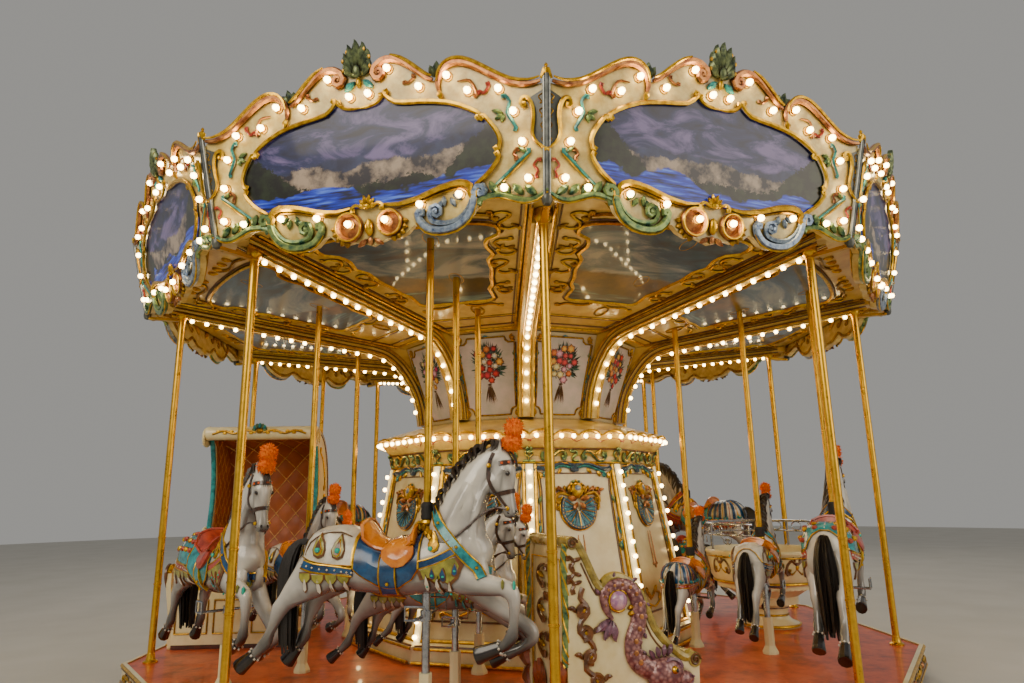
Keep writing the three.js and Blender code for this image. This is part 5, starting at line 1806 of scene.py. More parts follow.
def rump_drops(shape, skin, side):
    """Two olive drops with jewels on the armour, under a brown contour."""
    contour = skin.row([(-764, 1010), (-736, 1086), (-650, 1140), (-540, 1146), (-462, 1120)], side)
    shape.bar([spot + out * 11 for spot, out in contour], 5, "brown", 3)
    for x, z in ((-660, 1072), (-528, 1064)):
        patch(shape, skin, drop_outline(x, z, 62, 76), side, 14, "olive", "brown", 6)
        patch(shape, skin, drop_outline(x, z - 8, 34, 50), side, 20, "brown", "gold", 4, 4)
        stud(shape, skin.side(x, z - 26, side), 24, 19, "jewel")


def rump_stripes(shape, skin, side):
    """Blue straps that fan out from the crown of the rump, with red and gold cords between, and teal
    bosses."""
    for k in range(6):
        laid = [on_rump(skin, 0.2 + 0.38 * k, a, side) for a in np.linspace(0.34, 1.46, 6)]
        strap(shape, laid, 17, 9, "blue")
        laid = [on_rump(skin, 0.39 + 0.38 * k, a, side) for a in np.linspace(0.5, 1.46, 5)]
        shape.bar([spot + out * 3 for spot, out in laid], 6, "red" if k % 2 else "gold", 3)
    for k in range(4):
        boss = on_rump(skin, 0.39 + 0.57 * k, 1.4, side)
        stud(shape, boss, 6, 34, "aqua", squash=(1, 1, 0.7))
        stud(shape, boss, 26, 14, "gold", 3, 6)


def rump_scales(shape, skin, side):
    """Red and gold scales in three rows over the armour."""
    for row in range(3):
        for k in range(5):
            x = -738 + 70 * k + 35 * (row % 2)
            if x < -450:
                scale = skin.back(x, side * (0.34 + 0.34 * row))
                stud(shape, scale, 8, 27, "gold" if (k + row) % 2 else "red", squash=(1, 0.9, 0.8))


RUMPS = {"drops": rump_drops, "stripes": rump_stripes, "scales": rump_scales}


def rump_band(shape, skin, scheme, look, side):
    """The band round the rump with its pearls, and the fringe of tabs and white drops under it."""
    if scheme == "stripes":
        laid = [on_rump(skin, angle, 1.58, side) for angle in np.linspace(0.12, 2.3, 12)]
        strap(shape, laid, 26, 12, look["band"], "gold")
    else:
        laid = skin.row([(-782, 958), (-700, 938), (-600, 928), (-500, 920), (-430, 914)], side)
        strap(shape, laid, 31, 12, look["band"], "gold")
    for pearl in laid:
        stud(shape, pearl, 13, 8, "pearl", 2, 5)
    for x, z, tall in ((-752, 868, 92), (-665, 862, 104), (-575, 862, 98), (-492, 866, 78)):
        tab = [(x + u, z + v) for u, v in TAB]
        patch(shape, skin, tab, side, 8, look["fringe"], "brown", 4)
        patch(shape, skin, drop_outline(x, z - 34, 21, tall * 0.52, 8), side, 9, "white", "brown", 5, 4)


def breast_cloth(shape, skin, look, side):
    """The breast band, its fringed cloth with two rows of jewelled drops, and the beaded collar."""
    strap(shape, skin.row([(4, 956), (110, 984), (235, 1040)], side), 27, 12, look["band"], "gold")
    patch(shape, skin, BREAST_FRINGE, side, 9, look["fringe"], "brown", 3)
    for x, z, wide, tall in ((92, 908, 24, 36), (166, 900, 28, 46), (238, 930, 26, 42)):
        patch(shape, skin, drop_outline(x, z, wide, tall, 8), side, 13, look["band"], "brown", 5, 3)
        stud(shape, skin.side(x, z - 8, side), 17, 9, "jewel", 3, 5)
    for x, z, tall in ((52, 868, 52), (128, 846, 62), (206, 826, 58)):
        patch(shape, skin, drop_outline(x, z - 12, 23, tall, 8), side, 14, look["armour"], "brown", 6, 5)
        stud(shape, skin.side(x, z - 30, side), 16, 9, "jewel", 3, 5)
    collar = skin.row([(66, 1292), (118, 1205), (200, 1106), (288, 1016), (364, 936), (404, 880)], side)
    strap(shape, collar, 34, 14, look["collar"], "gold")
    for bead in collar[2::3]:
        stud(shape, bead, 14, 11, "gold", 3, 6)


def stirrup_strap(shape, skin, look, side):
    """The broad strap over the blanket, and the gilt drops on the shoulder with their jewel."""
    strap(shape, skin.row([(-196, 1010), (-196, 930), (-197, 850), (-200, 790)], side), 58, 22,
          look["blanket"], "gold")
    stud(shape, skin.side(-196, 852, side), 24, 12, "gold")
    patch(shape, skin, drop_outline(96, 1094, 50, 66), side, 14, "old_gold", "gold", 12)
    stud(shape, skin.side(82, 1050, side), 20, 16, "jewel", 5, 9)
    for k in range(3):
        patch(shape, skin, drop_outline(30 + 34 * k, 1150 - 20 * k, 22, 34, 8), side, 22, "gold", None, 10)


def blanket(shape, skin, look):
    """The blanket under the saddle, the girth, and the breast strap with its row of drops."""
    xs = np.linspace(-424, 4, 11)
    trapping(shape, skin, xs, skin.spans(xs, HEM), 15, look["blanket"], "gold", 9)
    strap(shape, [skin.back(-190, a) for a in np.linspace(2.1, 2 * math.pi - 2.1, 9)], 48, 9, "rust")
    ahead = (1, 0, -0.15)
    laid = [skin.around((425, 0, 905), ahead, (0, 1, 0), a) for a in np.linspace(-1.35, 1.35, 9)]
    strap(shape, laid, 32, 14, look["collar"], "gold")
    for k in range(7):
        drop = skin.around((425, 0, 860), ahead, (0, 1, 0), 0.3 * (k - 3))
        stud(shape, drop, 6, 17, "jewel" if k % 2 else look["fringe"], 3, 6, (0.7, 1, 1.9))


def bridle(shape, skin):
    """Noseband, browband with its jewels, cheek straps, bit straps and reins."""
    nose = [skin.around((512, 0, 1385), (1, 0, 0.2), (0, 1, 0), a) for a in np.linspace(-2.2, 2.2, 12)]
    strap(shape, nose, 13, 7, "leather")
    brow = [skin.around((505, 0, 1572), (1, 0, 0.1), (0, 1, 0), a) for a in np.linspace(-1.7, 1.7, 11)]
    strap(shape, brow, 15, 8, "leather")
    for jewel in brow[1::2]:
        stud(shape, jewel, 8, 10, "jewel_orange", 4, 7)
    for side in (1, -1):
        strap(shape, skin.row([(462, 1640), (432, 1560), (432, 1470), (470, 1390)], side), 11, 7, "leather")
        stud(shape, skin.side(432, 1560, side), 8, 16, "gold", 4, 9)
        stud(shape, skin.side(548, 1290, side), 8, 15, "gold", 4, 9)
        strap(shape, skin.row([(475, 1386), (510, 1340), (546, 1296)], side), 8, 6, "leather")
        rein = []
        for x, z in smooth(REIN, 2):
            spot, _ = skin.side(x, z, side)
            rein.append((x, side * max(abs(spot[1]) + 11, 62), z))
        shape.bar(rein, 7, "leather", 5)


def horse_dress(skin, scheme, look):
    """Rump armour, band and fringe, breast cloth, blanket, girth, collar and bridle, in one scheme of
    colours."""
    shape = Shape()
    if scheme != "stripes":
        xs = np.linspace(-786, -434, 7)
        trapping(shape, skin, xs, skin.spans(xs, RUMP_EDGE), 9, look["armour"], "gold")
    for side in (1, -1):
        RUMPS[scheme](shape, skin, side)
        rump_band(shape, skin, scheme, look, side)
        breast_cloth(shape, skin, look, side)
        stirrup_strap(shape, skin, look, side)
    blanket(shape, skin, look)
    bridle(shape, skin)
    return shape


def horse_saddle(skin, seat):
    """A carved saddle in gloss paint: a high rolled cantle, a dipped seat, round flaps, and the gilt
    pommel."""
    shape = Shape()

    def rise(x, angle):
        cantle = 56 * max(0.0, min(1.0, (-330 - x) / 86)) ** 1.5
        pommel = 42 * max(0.0, min(1.0, (x + 120) / 80)) ** 1.5
        return 24 + (cantle + pommel) * max(0.0, math.cos(angle)) ** 0.5

    xs = np.linspace(-428, -34, 10)
    for edge in trapping(shape, skin, xs, skin.spans(xs, SADDLE_EDGE), rise, seat):
        shape.bar(edge, 12, seat, 5)
    a = np.linspace(0, 2 * math.pi, 18, endpoint=False)
    flap = np.column_stack([-138 + 112 * np.cos(a) * (1 + 0.06 * np.sin(a)), 1024 + 80 * np.sin(a)])
    for side in (1, -1):
        patch(shape, skin, flap, side, 30, seat, seat, 22, 12)
        shape.bar(smooth(np.multiply(POMMEL_CURL, (1, side, 1)), 3), 11, "gold", 6)
    shape.lathe([(36, 1150), (50, 1168), (44, 1188), (52, 1206), (46, 1222), (34, 1228)], "gold", 14)
    for k in range(6):
        a = math.pi * (k + 0.5) / 3
        berry = (44 * math.cos(a) - 6, 46 * math.sin(a), 1176)
        shape.bead(berry, 18, "gold" if k % 2 else "old_gold", squash=(1, 1, 1.5))
    return shape


def horse_pole(scale):
    """The pole with its rubber grip, and the chrome foot bar under the belly, clear of the sleeve at every
    height."""
    shape = Shape()
    belly, top = 800 * scale, POLE_TOP - FLOOR_TOP
    shape.lathe([(POLE_R, 0), (POLE_R, belly)], "chrome")
    shape.lathe([(POLE_R, belly), (POLE_R, top)], "brass")
    shape.lathe([(r, h * scale) for r, h in GRIP], "rubber", 14)
    z = max(640 * scale, SLEEVE_HEIGHT + STROKE + 40)
    collar = [(POLE_R, -30), (38, -28), (38, 28), (POLE_R, 30)]
    shape.lathe([(r, z + h * scale) for r, h in collar], "chrome", 14)
    reach, half, height = 215 * scale, 62 * scale, 78 * scale
    shape.bar([(0, -reach, z), (0, reach, z)], 11, "chrome")
    for y in (-reach, reach):
        loop = [(-half, y, z), (-half, y, z + height), (half, y, z + height), (half, y, z)]
        shape.bar(loop, 8, "chrome", 6, closed=True)
    return shape


def build_horses():
    """One carved body, dressed in three ways, on every pole."""
    solid = carve_horse()
    skin = Skin(solid)
    draw = random.Random(7)
    shapes = {"body": horse_body(solid), "mane": horse_mane(skin, draw), "tail": horse_tail(draw),
              "plume": horse_plume()}
    for scheme, look in SCHEMES.items():
        shapes[f"dress_{scheme}"] = horse_dress(skin, scheme, look)
    for seat in ("orange", "red"):
        shapes[f"saddle_{seat}"] = horse_saddle(skin, seat)
    for row, (_, scale) in ROWS.items():
        shapes[f"pole_{row}"] = horse_pole(scale)
    meshes = {}
    for row, (radius, scale) in ROWS.items():
        for section, scheme in HORSES[row].items():
            name, look = f"horse_{row}_{section}", SCHEMES[scheme]
            foot = stand(section, radius, FLOOR_TOP + SECTION_LIFT[section] * ROW_PHASE[row], POLE_LEAD)
            kit = ("body", "mane", "tail", "plume", f"dress_{scheme}", f"saddle_{look['seat']}",
                   f"pole_{row}")
            for key in kit:
                part = key.split("_")[0]
                title = f"{name}_{part}"
                place = foot if part == "pole" else foot @ Matrix.Scale(scale, 4)
                stands_for = [name] if part == "body" else ()
                if key in meshes:
                    placed(title, meshes[key], name, place, stands_for)
                else:
                    meshes[key] = piece(title, shapes[key], name, place, stands_for).data


# Seats. Seat millimetres: x forward, y towards the axis, z above the floor

ACROSS = [[1, 0, 0], [0, 0, -1], [0, 1, 0]]


def stood_up(shape, panel, y, sides=(-1, 1)):
    """Adds a panel's own shape (u, v, w) to a seat as upright sides at distance y, w outwards on each."""
    for side in sides:
        shape.join(panel, [[1, 0, 0], [0, 0, side], [0, 1, 0]], (0, side * y, 0))


def roll(shape, x, z, radius, half, finish, disc="old_gold"):
    """A roll across the seat with a volute carved on each end."""
    profile = [(1, -half), (1.06, -half + 20), (1, -half + 40), (1, half - 40), (1.06, half - 20), (1, half)]
    shape.lathe([(radius * r, h) for r, h in profile], finish, 22, (x, 0, z), "y")
    for y in (half + 4, -half - 4):
        spiral = []
        for t in np.linspace(0, 1, 18):
            r = radius * 0.92 * (1 - 0.85 * t)
            spiral.append((x + r * math.cos(11 * t), y, z + r * math.sin(11 * t)))
        shape.bar(spiral, radius * 0.13, disc, 6)
        shape.bead((x, y, z), radius * 0.22, disc)


def seat_box(shape, xs, zs, ys, finish):
    """A box across a seat with its upper edges bevelled."""
    (x0, x1), (z0, z1), (y0, y1) = xs, zs, ys
    corner = [(x0, z0), (x1, z0), (x1, z1 - 10), (x1 - 10, z1), (x0 + 10, z1), (x0, z1 - 10)]
    box = Shape()
    box.add(plate(corner, -y1, -y0), finish)
    shape.join(box, ACROSS)


def cushion(name, place, xs, half, height, crown, seams, thick):
    """A stuffed seat pad: crowned top, rounded edge, a welt round it and stitched seams across it."""
    rows, columns = 18, 26
    points = []
    for i in range(rows + 1):
        for j in range(columns + 1):
            u, v = i / rows, j / columns
            edge = min(1.0, 7 * min(u, 1 - u)) ** 0.5 * min(1.0, 9 * min(v, 1 - v)) ** 0.5
            seam = min(1.0, 7 * abs((v * seams) % 1 - 0.5))
            puff = crown * (0.35 + 0.65 * math.sin(math.pi * u) ** 0.5 * (1 - seam ** 6) ** 0.5)
            top = height - thick * (1 - edge) * 0.5 + puff * edge
            points.append((xs[0] + (xs[1] - xs[0]) * u, -half + 2 * half * v, top))
    faces = net(rows, columns)
    wide = columns + 1
    rim = [i * wide for i in range(rows + 1)] + [rows * wide + j for j in range(1, wide)]
    rim += [i * wide + columns for i in range(rows - 1, -1, -1)] + list(range(columns - 1, 0, -1))
    base = len(points)
    points += [(*points[i][:2], height - thick) for i in rim]
    for k, corner in enumerate(rim):
        m = (k + 1) % len(rim)
        faces.append((corner, base + k, base + m, rim[m]))
    faces.append(tuple(range(base, base + len(rim)))[::-1])
    shape = Shape()
    shape.add((points, [face[::-1] for face in faces]), "vinyl")
    welt = [(*points[i][:2], height - thick * 0.42) for i in rim[::2]]
    shape.bar(welt, 6, "welt", 5, closed=True)
    made = piece(name, shape, "rotor", place, crease=60)


CHARIOT_HALF = 330
CHARIOT_THICK = 45
CHARIOT_SIDE = [(-602, 786), (-540, 832), (-457, 841), (-350, 780), (-288, 698), (-215, 517), (-100, 390),
                (5, 317)]
CHARIOT_BACK = [(-842, 430), (-832, 700), (-838, 960), (-825, 1060)]
CHARIOT_STEM = [
    (-722, 790), (-742, 730), (-706, 690), (-690, 640), (-740, 590), (-752, 530), (-690, 480), (-654, 420),
    (-700, 370), (-716, 310), (-650, 260), (-614, 200), (-640, 130),
]
SERPENT = [
    (-520, 590, 12), (-562, 650, 24), (-575, 730, 31), (-530, 785, 36), (-450, 798, 42), (-372, 762, 47),
    (-330, 672, 52), (-334, 560, 56), (-378, 452, 60), (-372, 352, 62), (-296, 286, 68), (-190, 256, 76),
]
PEARL = (-476, 700)


def serpent(panel):
    """A sea serpent in relief: its tail curls round a pearl, its head lies low at the front."""
    body = smooth(SERPENT, 3)
    panel.line(body[:, :2], 6, body[:, 2], "serpent", 12, flat=0.62)
    for i in range(4, len(body) - 4, 2):
        spot, thick = body[i, :2], body[i, 2]
        along = body[i + 1, :2] - body[i - 1, :2]
        left = np.array((-along[1], along[0])) / np.linalg.norm(along)
        for k in (-0.55, 0, 0.55):
            scale = spot + left * thick * (k + 0.16 * (i % 2))
            rise = 6 + thick * 0.58 * math.sqrt(1 - k * k)
            panel.bead((*scale, rise), thick * 0.34, "serpent" if k else "rose", 3, 6, (1, 1, 0.5))
        if i % 4:
            angle = math.atan2(*left[::-1]) - 0.7
            leaf(panel, spot + left * thick * 0.8, angle, 46, 12, "violet", 6, 8, lobes=2)
    panel.bead((*PEARL, 14), 62, "pearl_rose", 8, 14, (1, 1, 0.62))
    x, z = PEARL
    clasp = [(x + 66 * math.cos(a), 66 * math.sin(a) + z, 12) for a in np.linspace(0.6, 5.4, 14)]
    panel.bar(clasp, 9, "gold", 6)
    for spread in (-0.5, 0.05, 0.6):
        leaf(panel, (-522, 600), DOWN - 0.5 + spread, 128, 27, "violet", 8, 18)
    leaf(panel, (-420, 610), 0.1, 96, 24, "old_gold", 6, 16)
    leaf(panel, (-420, 640), 0.3, 90, 20, "old_gold", 6, 14)
    panel.bead((-158, 232, 16), 1, "serpent", 8, 16, (138, 112, 70))
    panel.bead((-40, 196, 20), 1, "serpent", 6, 14, (84, 58, 54))
    panel.bead((-34, 150, 14), 1, "pearl_rose", 6, 12, (60, 26, 40))
    panel.bead((-128, 268, 74), 26, "gold", 6, 12)
    panel.bead((-122, 268, 92), 14, "eye", 5, 8)
    panel.bar(smooth([(20, 186, 52), (-40, 168, 70), (-120, 166, 76), (-190, 196, 68)], 3), 7, "violet", 6)
    for x, z in ((22, 214), (-2, 226)):
        panel.bead((x, z, 56), 9, "violet", 4, 7)
    scroll(panel, [(-190, 300), (-140, 330), (-80, 312), (-60, 284)], 15, "violet", (0, 14), (1, -1), 52)
    for k in range(4):
        leaf(panel, (-236 + 30 * k, 316 + 6 * k), UP + 0.5 - 0.3 * k, 72, 18, "violet", 30, lobes=2)


def chariot_side():
    """One side of the chariot: its scalloped edge roll, the roped corner post, a scrolled stem and the
    serpent."""
    panel = Shape()
    scallop = [(-705, 985)] + CHARIOT_SIDE
    bend = CHARIOT_BACK + [(-800, 1082), (-750, 1074)] + scallop + [(70, 345), (108, 320), (104, 200)]
    outline = np.vstack([(-838, 0), smooth(bend, 3), (100, 0)])
    panel.add(plate(outline[::-1], -CHARIOT_THICK, 0), "cream")
    panel.line(smooth([(-752, 1070)] + scallop + [(66, 344)], 4), -16, 33, "olive_gold", 8, flat=0.95)
    inner = smooth([(x - 30 if x > -560 else x - 24, z - 44) for x, z in scallop], 3)
    panel.line(inner, 2, 6, "brown")
    panel.line([(-820, 44), (-400, 40), (92, 44)], 4, 20, "olive_gold", 8)
    panel.line([(-820, 84), (-400, 80), (92, 84)], 2, 6, "brown")
    post = smooth([(-846, 330)] + CHARIOT_BACK, 5)
    panel.bar(raised(post, -20), 23, "green", 10)
    for k in range(3):
        turn = np.arange(len(post)) * 0.85 + k * 2.094
        strand = np.column_stack([post[:, 0] + 19 * np.cos(turn), post[:, 1], -20 + 19 * np.sin(turn)])
        panel.bar(smooth(strand, 2), 8, "gold", 4)
    panel.line(smooth(CHARIOT_STEM, 2), 3, 18, "brown", 5, flat=0.7)
    for x, z, hand in ((-722, 655, 1), (-710, 520, -1), (-684, 380, 1), (-646, 238, -1)):
        coil, _ = curl((x + 50 * hand, z), (0, -1), 50, 1.7, -hand)
        panel.line(smooth(coil, 2), 6, 16, "brown", 5, flat=0.7)
        panel.bead((x, z, 6), 16, "old_gold", squash=(1, 1, 0.6))
        for k in (-1, 1):
            leaf(panel, (x - 46 * hand, z + 20 * k), UP + hand * (1.1 + 0.5 * k), 52, 14, "brown", 3, 8,
                 lobes=2)
    for z, hand in ((952, 1), (884, -1), (812, 1)):
        scroll(panel, [(-806, z + 30), (-780, z), (-800, z - 34)], 11, "brown", (16, 16), (hand, hand), 5)
        leaf(panel, (-790, z), 0.3 * hand, 56, 14, "brown", 4, 8, lobes=2)
    serpent(panel)
    leaf(panel, (-834, 60), 2.0, 150, 44, "rust", -22, 20, bend=-0.6)
    leaf(panel, (-838, 190), 2.1, 170, 44, "rust", -22, 20, bend=-0.5)
    return panel


def chariot_rear():
    """The carving on the chariot's back."""
    half = Shape()
    for z, hand in ((820, 1), (600, -1), (380, 1)):
        wave = [(24, z + 90), (110, z + 70), (150, z), (70, z - 60)]
        scroll(half, wave, 13, "brown", (24, 26), (hand, -1), 5)
        leaf(half, (40, z), UP - 1.2, 90, 20, "old_gold", 3, 12)
    leaf(half, (60, 70), UP - 0.35, 210, 54, "rust", 3, 22)
    leaf(half, (190, 70), UP - 0.1, 170, 46, "rust", 3, 20)
    rear = Shape()
    rear.pair(half)
    border = [(-240, 960), (-262, 500), (-262, 90), (262, 90), (262, 500), (240, 960)]
    rear.line(border, 3, 7, "gold", 5, closed=True)
    return rear


def build_chariot():
    """The sea-serpent chariot: two carved sides, a padded back, one bench and its cushion."""
    place = stand(0, 2630, FLOOR_TOP)
    half, clear = CHARIOT_HALF, CHARIOT_HALF - CHARIOT_THICK
    shape = Shape()
    stood_up(shape, chariot_side(), half)
    outside = smooth([(-815, 40), (-818, 500), (-812, 900), (-798, 1030)], 3)
    inside = smooth([(-736, 40), (-742, 420), (-772, 900), (-776, 1030)], 3)
    middle = (outside + inside) / 2
    backrest = Shape()
    for near, far, finish in ((outside, middle, "cream"), (middle, inside, "wine")):
        backrest.add(plate(np.vstack([near, far[::-1]])[::-1], -clear, clear), finish)
    shape.join(backrest, ACROSS)
    shape.join(chariot_rear(), [[0, 0, -1], [-1, 0, 0], [0, 1, 0]], (-832, 0, 0))
    roll(shape, -786, 1066, 40, half + 8, "olive_gold", "brown")
    roll(shape, 74, 300, 46, half + 10, "olive_gold", "brown")
    shape.lathe([(34, 30 - half), (34, half - 30)], "wine", 14, (-742, 0, 1010), "y")
    for xs, zs, finish in (((-780, -345), (60, 350), "cream"), ((-820, 92), (2, 66), "wine"),
                           ((50, 92), (40, 270), "cream")):
        seat_box(shape, xs, zs, (40 - half, half - 60), finish)
    for y in (-180, 0, 180):
        panel_line = [(-340, y - 70, 130), (-340, y - 70, 290), (-340, y + 70, 290), (-340, y + 70, 130)]
        shape.bar(panel_line, 6, "old_gold", 5, closed=True)
    piece("chariot_body", shape, "rotor", place, ["chariot"])
    cushion("chariot_cushion", place, (-730, -338), half - 50, 418, 26, 3, 76)


HOOD_HALF = 580
HOOD_THICK = 45
HOOD_VOLUTE = (-6, 2040)
HOOD_SPINE = [(-640, 60), (-715, 700), (-735, 1250), (-660, 1720), (-470, 2010), (-200, 2120), (20, 2135)]
HOOD_INSIDE = [(-616, 430), (-664, 700), (-686, 1250), (-612, 1690), (-440, 1950), (-190, 2052), (0, 2070)]
HOOD_EDGE = [
    (30, 2085), (-90, 1960), (-190, 1600), (-190, 1250), (-110, 900), (60, 690), (250, 622), (420, 660),
    (620, 760), (700, 700),
]
WING_EDGE = [(-40, 2030), (-150, 1940), (-236, 1600), (-236, 1250), (-160, 930), (-20, 720), (-60, 640),
             (-640, 640)]
DIAMOND = 262
DIAMOND_LEAN = 1.15


def within(outline, spot):
    """Whether a flat point lies inside an outline."""
    inside = False
    for (x0, z0), (x1, z1) in zip(outline, outline[1:] + outline[:1]):
        if (z0 > spot[1]) != (z1 > spot[1]) and spot[0] < x0 + (spot[1] - z0) * (x1 - x0) / (z1 - z0):
            inside = not inside
    return inside


def quilted_lining(half):
    """The hood's lining: one padded sheet that follows its curve, stitched in diamonds with piped seams."""
    curve = smooth(HOOD_INSIDE, 9)
    run = np.concatenate([[0], np.cumsum(np.linalg.norm(np.diff(curve, axis=0), axis=1))])
    along = unit(np.gradient(curve, axis=0))
    inward = np.column_stack([along[:, 1], -along[:, 0]])
    n, columns = len(curve), 40
    ys = np.linspace(-half, half, columns + 1)
    points = []
    for i in range(n):
        for j, y in enumerate(ys):
            a, b = (run[i] + y * DIAMOND_LEAN) / DIAMOND, (run[i] - y * DIAMOND_LEAN) / DIAMOND
            puff = abs(math.sin(math.pi * a) * math.sin(math.pi * b)) ** 0.5
            edge = min(1.0, 12 * min(j, columns - j) / columns)
            x, z = curve[i] + inward[i] * (6 + 18 * puff * edge)
            points.append((x, y, z))
    faces = [face[:1] + face[:0:-1] for face in net(n - 1, columns)]
    wide, base = columns + 1, len(points)
    for x, z in curve:
        points += [(x, -half, z), (x, half, z)]
    for i in range(n - 1):
        left, right, back = i * wide, i * wide + columns, base + 2 * i
        faces.append((left, left + wide, back + 2, back))
        faces.append((right, back + 1, back + 3, right + wide))
    shape = Shape()
    shape.add((points, faces), "vinyl")
    for direction in (1, -1):
        for k in range(-9, 26):
            seam = []
            for i in range(0, n, 2):
                y = direction * (k * DIAMOND - run[i]) / DIAMOND_LEAN
                if abs(y) < half - 6:
                    x, z = curve[i] + inward[i] * 12
                    seam.append((x, y, z))
            if len(seam) > 2:
                shape.bar(seam, 6, "welt", 4)
    wing = Shape()
    outline = [tuple(q) for q in smooth(HOOD_INSIDE[1:], 3)] + WING_EDGE
    wing.add(plate(outline, -9, 0), "vinyl")
    stood_up(shape, wing, half)
    for direction in (1, -1):
        for k in range(-4, 14):
            foot = -600 + 115 * k
            seam = [(foot + direction * 0.62 * (z - 700), z) for z in range(650, 2080, 44)]
            seam = [spot for spot in seam if within(outline, spot)]
            if len(seam) > 2:
                for y in (half - 10, 10 - half):
                    shape.bar([(x, y, z) for x, z in seam], 5, "welt", 4)
    return shape


def hood_side():
    """One side of the carriage: the hood's edge rolls, its foot scroll, and painted leaves and scrolls."""
    spine, edge = smooth(HOOD_SPINE, 4), smooth(HOOD_EDGE, 4)
    panel = Shape()
    panel.add(plate([*spine, *edge, (690, 560), (600, 300), (560, 0), (-600, 0)], -HOOD_THICK, 0), "cream")
    mouth, apron = edge[:25], edge[24:]
    panel.bar(raised(mouth, -20), 27, "aqua")
    panel.bar(raised(mouth + (-30, 0), 2), 7, "gold", 6)
    panel.bar(raised(apron, -20), 24, "gold")
    panel.bar(raised(spine, -20), 22, "old_gold")
    panel.bar(raised(spine + (44, -20), 2), 7, "brown", 6)
    scroll(panel, [(-30, 800), (-120, 860), (-170, 960), (-150, 1060)], 24, "cream", (40, 30), (1, -1), 8)
    scroll(panel, [(640, 770), (690, 740), (706, 670), (660, 560)], 20, "brown", (26, 0), (1, 1), 6)
    for x, z, a in ((560, 660, 2.8), (470, 610, 2.9), (380, 580, 3.1), (640, 600, 2.2), (600, 480, 1.9),
                    (566, 360, 1.8)):
        leaf(panel, (x, z), a, 90, 20, "brown", 3, 12)
    for k in range(5):
        leaf(panel, (-420 + 60 * k, 470 - 8 * k), 1.9 - 0.28 * k, 190, 34, "green", 4, 22)
    panel.bead((-300, 430, 10), 54, "gold", 6, 12, (1, 1, 0.5))
    low = [(-560, 240), (-380, 300), (-160, 230), (60, 300), (280, 240)]
    scroll(panel, low, 17, "old_gold", (44, 40), (-1, 1), 6)
    scroll(panel, [(-520, 1500), (-480, 1650), (-380, 1800), (-250, 1880)], 14, "gold", (34, 30), (1, 1), 5)
    for x, z, a in ((-490, 1300, 1.6), (-470, 1160, 1.5), (-450, 1020, 1.4), (-600, 900, 1.5)):
        leaf(panel, (x, z), a, 110, 22, "gold", 3)
    for z in (44, 96):
        panel.bar([(-610, z, 3), (566, z, 3)], 10, "gold", 6)
    panel.lathe([(104, 4), (110, 14), (104, 26), (70, 30), (6, 30)], "cream", 24, (*HOOD_VOLUTE, 0))
    return panel


def hood_crest(shape):
    """Swags, berries and a rosette along the front of the hood's roll, and the spirals on its discs."""
    swag = [(92, 40, 2080), (96, 150, 2106), (94, 270, 2070), (94, 380, 2100), (90, 500, 2066)]
    spiral, eye = curl((96, 0), (0, -1), 98, 2.2, -1)
    spiral = smooth(spiral - eye, 2) + HOOD_VOLUTE
    for side in (1, -1):
        shape.bar(smooth(swag, 4) * (1, side, 1), 13, "old_gold", 6)
        for k in range(6):
            shape.bead((92, side * (90 + 70 * k), 2076 + 18 * (k % 2)), 17, "gold", squash=(0.8, 1.5, 1))
        shape.bar([(x, side * (HOOD_HALF + 30), z) for x, z in spiral], 9, "ivory", 5)
    for k in range(7):
        a = math.pi * k / 6
        berry = (92, 62 * math.cos(a), 2110 + 44 * math.sin(a))
        shape.bead(berry, 24, "aqua" if k % 2 else "green", squash=(0.7, 0.8, 1.3))
    shape.bead((98, 0, 2096), 30, "old_gold", 5, 10, (0.8, 1.2, 1))


def build_carriage():
    """The hooded carriage: carved sides, a ribbed hood with a quilted lining, a low front, a bench and
    cushion."""
    place = stand(7, 2839, FLOOR_TOP)
    half, clear = HOOD_HALF, HOOD_HALF - HOOD_THICK
    shape = Shape()
    stood_up(shape, hood_side(), half)
    spine, inside = smooth(HOOD_SPINE, 4), smooth(HOOD_INSIDE, 4)
    hood = Shape()
    hood.add(plate(np.vstack([spine, inside[::-1]])[::-1], -clear, clear), "cream")
    for x, z in spine[[4, 9, 14, 19]]:
        hood.bar([(x, z, 60 - half), (x, z, half - 60)], 14, "gold", 6)
    shape.join(hood, ACROSS)
    roll(shape, 20, 2078, 72, half + 6, "cream", "ivory")
    hood_crest(shape)
    for xs, zs, finish in (((-655, -125), (60, 360), "cream"), ((-605, 575), (2, 68), "wine"),
                           ((537, 588), (40, 536), "cream")):
        seat_box(shape, xs, zs, (40 - half, half - 60), finish)
    for y in (-360, 0, 360):
        frame_line = [(594, y - 150, 140), (594, y - 150, 440), (594, y + 150, 440), (594, y + 150, 140)]
        shape.bar(frame_line, 9, "old_gold", 6, closed=True)
        shape.bead((594, y, 290), 40, "gold", 6, 10, (0.4, 1, 1))
    shape.bar([(566, 40 - half, 540), (566, half - 40, 540)], 22, "gold", 10)
    piece("carriage_body", shape, "rotor", place, ["hooded_carriage"])
    lining = piece("carriage_lining", quilted_lining(clear - 2), "rotor", place, crease=60)
    cushion("carriage_cushion", place, (-590, -118), half - 52, 432, 30, 4, 84)


TUB_CUP = [
    (2, 0), (300, 0), (304, 16), (296, 36), (230, 62), (196, 96), (188, 140), (206, 206), (262, 276),
    (400, 366), (516, 440), (562, 520), (586, 640), (598, 734), (612, 752), (612, 770), (598, 780),
    (578, 780), (566, 760), (556, 640), (534, 520), (508, 440), (504, 396), (330, 396), (314, 380),
    (302, 232), (2, 230),
]
TUB_RAIL_R = 582
TUB_MOTIFS = 9


